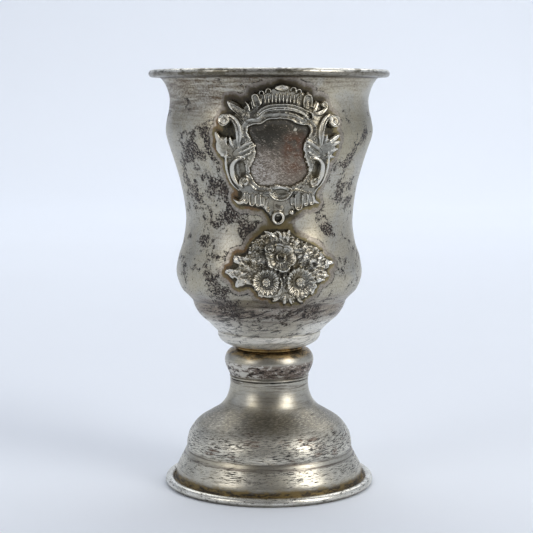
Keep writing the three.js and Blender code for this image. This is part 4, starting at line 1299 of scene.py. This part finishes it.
def foot():
    neck_top = KNOP_BOTTOM - 0.05
    sleeve = [(10.3, 35), (11.1, 35), (11.1, neck_top), (11.75, neck_top)]
    outside = joined(smooth([(11.95, neck_top - 0.12)] + DOME[1:], 80), smooth(FLARE, 24))
    inner = outside[::3] + WALL * normals(outside)[::3]
    edge_r = outside[-1, 0]
    flange_r = RING_R - 2 * FOOT_WIRE_R - 0.03
    flange = [
        (edge_r + 0.05, 2.2), (edge_r + 0.3, 1.65), (flange_r, 1.5), (flange_r, 0.7), (edge_r - WALL, 0.7),
    ]
    points, faces = turned(joined(sleeve, outside, flange, inner[::-1]), even_angles(256))
    hold = within(points[:, 2], 3, 26, 4)
    points = points + (dented(points, 0.08, 18, 6) - points) * hold[:, None]
    made("foot_dome", points, faces, "foot", ["foot"], FOOT_LOOK)


def foot_ring():
    flat_half = 30
    centre_z = FOOT_WIRE_R * math.cos(math.radians(flat_half))
    section = arc(RING_R - FOOT_WIRE_R, centre_z, FOOT_WIRE_R, flat_half - 90, 270 - flat_half, 20)
    points, faces = turned(section, even_angles(256))
    made("foot_wire", points, faces, "foot", ["foot_ring"], RING_LOOK)


def build():
    cartouche = cartouche_relief(STEP)
    spray = spray_relief(STEP)
    bowl(cartouche, spray)
    bowl_base()
    lip_ring()
    ornament("cartouche_casting", "cartouche", cartouche, CARTOUCHE_WRAP_R, CAST_LOOK, KEEP)
    ornament("flower_casting", "flower_spray", spray, SPRAY_WRAP_R, CAST_LOOK, KEEP)
    knop()
    foot()
    foot_ring()
    bush()
    stud()
    nut()
    washers()


def pushed(points, rows, r):
    """Gives the chosen points a new distance from the axis."""
    old = np.maximum(axis_distance(points), 1e-6)
    scale = np.where(rows, r / old, 1)
    points[:, :2] *= scale[:, None]
    return points


def winding(points):
    """Where the screw's right-hand thread is at some points: 1 on its crest, 0 in its root."""
    turn = bearing(points) / (2 * math.pi)
    return np.abs((points[:, 2] / PITCH - turn) % 1 - 0.5) * 2


def within(z, low, high, ramp):
    """1 between two heights, fading to 0 over a ramp inside each of them."""
    return np.clip(np.minimum(z - low, high - z) / ramp, 0, 1)


def thread(points, rows, crest, low, high, depth):
    """Cuts a thread into the chosen points of a rod. It runs out at both ends."""
    cut = np.clip((1 - winding(points) - 0.12) / 0.7, 0, 1)
    return pushed(points, rows, crest - depth * cut * within(points[:, 2], low, high, 0.5))


def bush():
    """Flanged brass bush through the top of the knop: M12 outside, M6 inside."""
    ladder = np.arange(BUSH_BOTTOM + 0.5, LOCK_HIGH, PITCH / 8)
    outer = [(BUSH_R - 0.4, BUSH_BOTTOM), (BUSH_R, BUSH_BOTTOM + 0.4)] + [(BUSH_R, z) for z in ladder]
    under = KNOP_TOP + 0.1
    flange = [
        (BUSH_R, LOCK_HIGH), (BUSH_R, under), (SEAT_R - 0.15, under), (SEAT_R, under + 0.15),
        (SEAT_R, BUSH_TOP - 0.15), (SEAT_R - 0.15, BUSH_TOP), (STUD_R + 0.5, BUSH_TOP),
        (BORE_R, BUSH_TOP - 0.4),
    ]
    bore = [(BORE_R, z) for z in np.arange(BUSH_TOP - 0.5, BUSH_BOTTOM + 0.3, -PITCH / 8)]
    points, faces = turned(joined(outer, flange, bore, [(BORE_R, BUSH_BOTTOM)]), even_angles(96))
    r = axis_distance(points)
    outside = (np.abs(r - BUSH_R) < 0.01) & (points[:, 2] < LOCK_HIGH)
    points = thread(points, outside, BUSH_R, BUSH_BOTTOM + 0.3, LOCK_HIGH, 0.5)
    inside = np.abs(r - BORE_R) < 0.01
    ends = within(points[:, 2], BUSH_BOTTOM + 0.2, BUSH_TOP - 0.5, 0.5)
    ridge = np.clip((0.88 - winding(points)) / 0.7, 0, 1) * THREAD_DEPTH * ends
    points = pushed(points, inside, BORE_R - ridge)
    made("bush_turned", points, faces, "foot", ["threaded_bush"], BRASS_LOOK, 35)


def stud():
    """Flanged stud under the bowl, M6 by 1, chamfered at its end."""
    head = STUD_TOP - STUD_HEAD
    shank = [(STUD_R, z) for z in np.arange(STUD_BOTTOM + 0.6, head, PITCH / 8)]
    section = [(0, STUD_BOTTOM), (STUD_R - 0.6, STUD_BOTTOM), (STUD_R, STUD_BOTTOM + 0.5)] + shank + [
        (STUD_R, head), (STUD_HEAD_R - 0.2, head), (STUD_HEAD_R, head + 0.2), (STUD_HEAD_R, STUD_TOP - 0.2),
        (STUD_HEAD_R - 0.2, STUD_TOP), (0, STUD_TOP),
    ]
    points, faces = turned(joined(section), even_angles(96))
    threaded = np.abs(axis_distance(points) - STUD_R) < 0.01
    points = thread(points, threaded, STUD_R, STUD_BOTTOM + 0.3, head, THREAD_DEPTH)
    made("stud_turned", points, faces, "bowl", ["threaded_stud"], BRASS_LOOK, 35)


def nut():
    """Hexagon nut with chamfered corners."""
    flat, hole = NUT_CORNER_R * math.cos(math.radians(30)), BUSH_R + 0.1
    levels = np.array([0, 0.25, 0.5, 0.9, 1.3])
    heights = np.concatenate([NUT_LOW + levels, NUT_HIGH - levels[::-1]])
    section = [(hole, NUT_LOW + 0.4), (hole + 0.4, NUT_LOW)] + [(flat, z) for z in heights]
    section += [(hole + 0.4, NUT_HIGH), (hole, NUT_HIGH - 0.4)]
    points, faces = turned(section, even_angles(96))
    side = np.abs(axis_distance(points) - flat) < 0.01
    sector = (np.arctan2(points[:, 1], points[:, 0]) % (math.pi / 3)) - math.pi / 6
    from_end = np.minimum(points[:, 2] - NUT_LOW, NUT_HIGH - points[:, 2])
    points = pushed(points, side, np.minimum(flat / np.cos(sector), flat - 0.1 + 1.3 * from_end))
    made("nut_hexagon", points, faces, "foot", ["bush_nut"], BRASS_LOOK, 25)


def washers():
    edge = 0.12
    for name, node, body, slot, look, hole in (
        ("lock_washer", "bush_washer", "foot", "steel", STEEL_LOOK, BUSH_R + 0.2),
        ("thin_washer", "seat_washer", "washer", "brass", BRASS_LOOK, 3.4),
    ):
        low, high, outer = span(node)
        section = [
            (hole, low + edge), (hole + edge, low), (outer - edge, low), (outer, low + edge),
            (outer, high - edge), (outer - edge, high), (hole + edge, high), (hole, high - edge),
        ]
        points, faces = turned(section, even_angles(128))
        made(name, points, faces, body, [node], look, 30)


build()

# ---- stage, light and camera ---------------------------------------------------------------


def sweep():
    """A pale floor that curves up into a wall behind the object."""
    side, depth, bend = 3.0, 1.7, 0.6
    profile = [(-8.0, 0.0), (depth - bend, 0.0)]
    for step in range(1, 17):
        a = math.radians(90 * step / 16)
        profile.append((depth - bend + bend * math.sin(a), bend - bend * math.cos(a)))
    profile.append((depth, 2.4))
    points = [(x, y, z) for y, z in profile for x in (-side, side)]
    faces = [(2 * n, 2 * n + 1, 2 * n + 3, 2 * n + 2) for n in range(len(profile) - 1)]
    mesh = bpy.data.meshes.new("sweep")
    mesh.from_pydata(points, [], faces)
    mesh.shade_smooth()
    mesh.materials.append(stage_paint("pale_paper", (0.845, 0.885, 0.95), 0.7))
    piece = bpy.data.objects.new("sweep", mesh)
    bpy.context.scene.collection.objects.link(piece)


def softbox(name, place, size, power, colour, aim=(0, 0, 0.07)):
    light = bpy.data.lights.new(name, "AREA")
    light.shape = "RECTANGLE"
    light.size, light.size_y = size
    light.energy = power
    light.color = colour
    box = bpy.data.objects.new(name, light)
    box.location = place
    box.rotation_euler = (Vector(aim) - Vector(place)).to_track_quat("-Z", "Y").to_euler()
    bpy.context.scene.collection.objects.link(box)


def lights():
    softbox("key_right", (0.68, -0.60, 0.54), (0.42, 0.78), 4.6, (1.0, 0.985, 0.95))
    softbox("key_left", (-0.86, -0.56, 0.52), (0.4, 0.7), 1.9, (1.0, 0.99, 0.97))
    softbox("top", (0.15, 1.25, 1.6), (3.2, 1.5), 26, (0.96, 0.98, 1.0), (0.0, 0.5, 0.0))
    softbox("backdrop", (0.3, 0.75, 0.95), (1.8, 0.35), 2.5, (0.97, 0.985, 1.0), (0.0, 1.55, 0.2))
    room()


def room():
    """Pale walls behind and at the sides, a dim ceiling, and a dim room behind the camera."""
    world = bpy.data.worlds.new("room")
    bpy.context.scene.world = world
    world.use_nodes = True
    k = Nodes(world.node_tree)
    _, y, z = k.along_axes(k.node("ShaderNodeTexCoord").outputs["Generated"])
    share = k.both(k.step(y, -0.85, 0.15), k.sum((k.step(z, 0.35, 0.75), -0.65), 1.0))
    shade = k.colour(share, (0.17, 0.17, 0.18), (0.62, 0.66, 0.74))
    k.link(shade, k.tree.nodes["Background"].inputs["Color"])


CAMERA_AWAY = 0.431
CAMERA_HEIGHT = 0.11655
CAMERA_AZIMUTH = -5.0
CAMERA_PITCH = -6.65
CAMERA_YAW = 0.108  # puts the object's axis a little right of the middle
CAMERA_LENS = 96.32  # in millimetres, on a 36 mm sensor


def camera():
    turn = math.radians(CAMERA_AZIMUTH)
    head = math.radians(CAMERA_YAW)
    place = Vector((math.sin(turn), -math.cos(turn), 0)) * CAMERA_AWAY
    place.z = CAMERA_HEIGHT
    ahead = Vector((-math.sin(turn + head), math.cos(turn + head), math.tan(math.radians(CAMERA_PITCH))))
    data = bpy.data.cameras.new("camera")
    data.sensor_width = 36
    data.lens = CAMERA_LENS
    data.clip_start, data.clip_end = 0.01, 20
    eye = bpy.data.objects.new("camera", data)
    eye.location = place
    eye.rotation_euler = ahead.to_track_quat("-Z", "Y").to_euler()
    bpy.context.scene.collection.objects.link(eye)
    bpy.context.scene.camera = eye


sweep()
lights()
camera()
bpy.context.scene.view_settings.view_transform = "Standard"
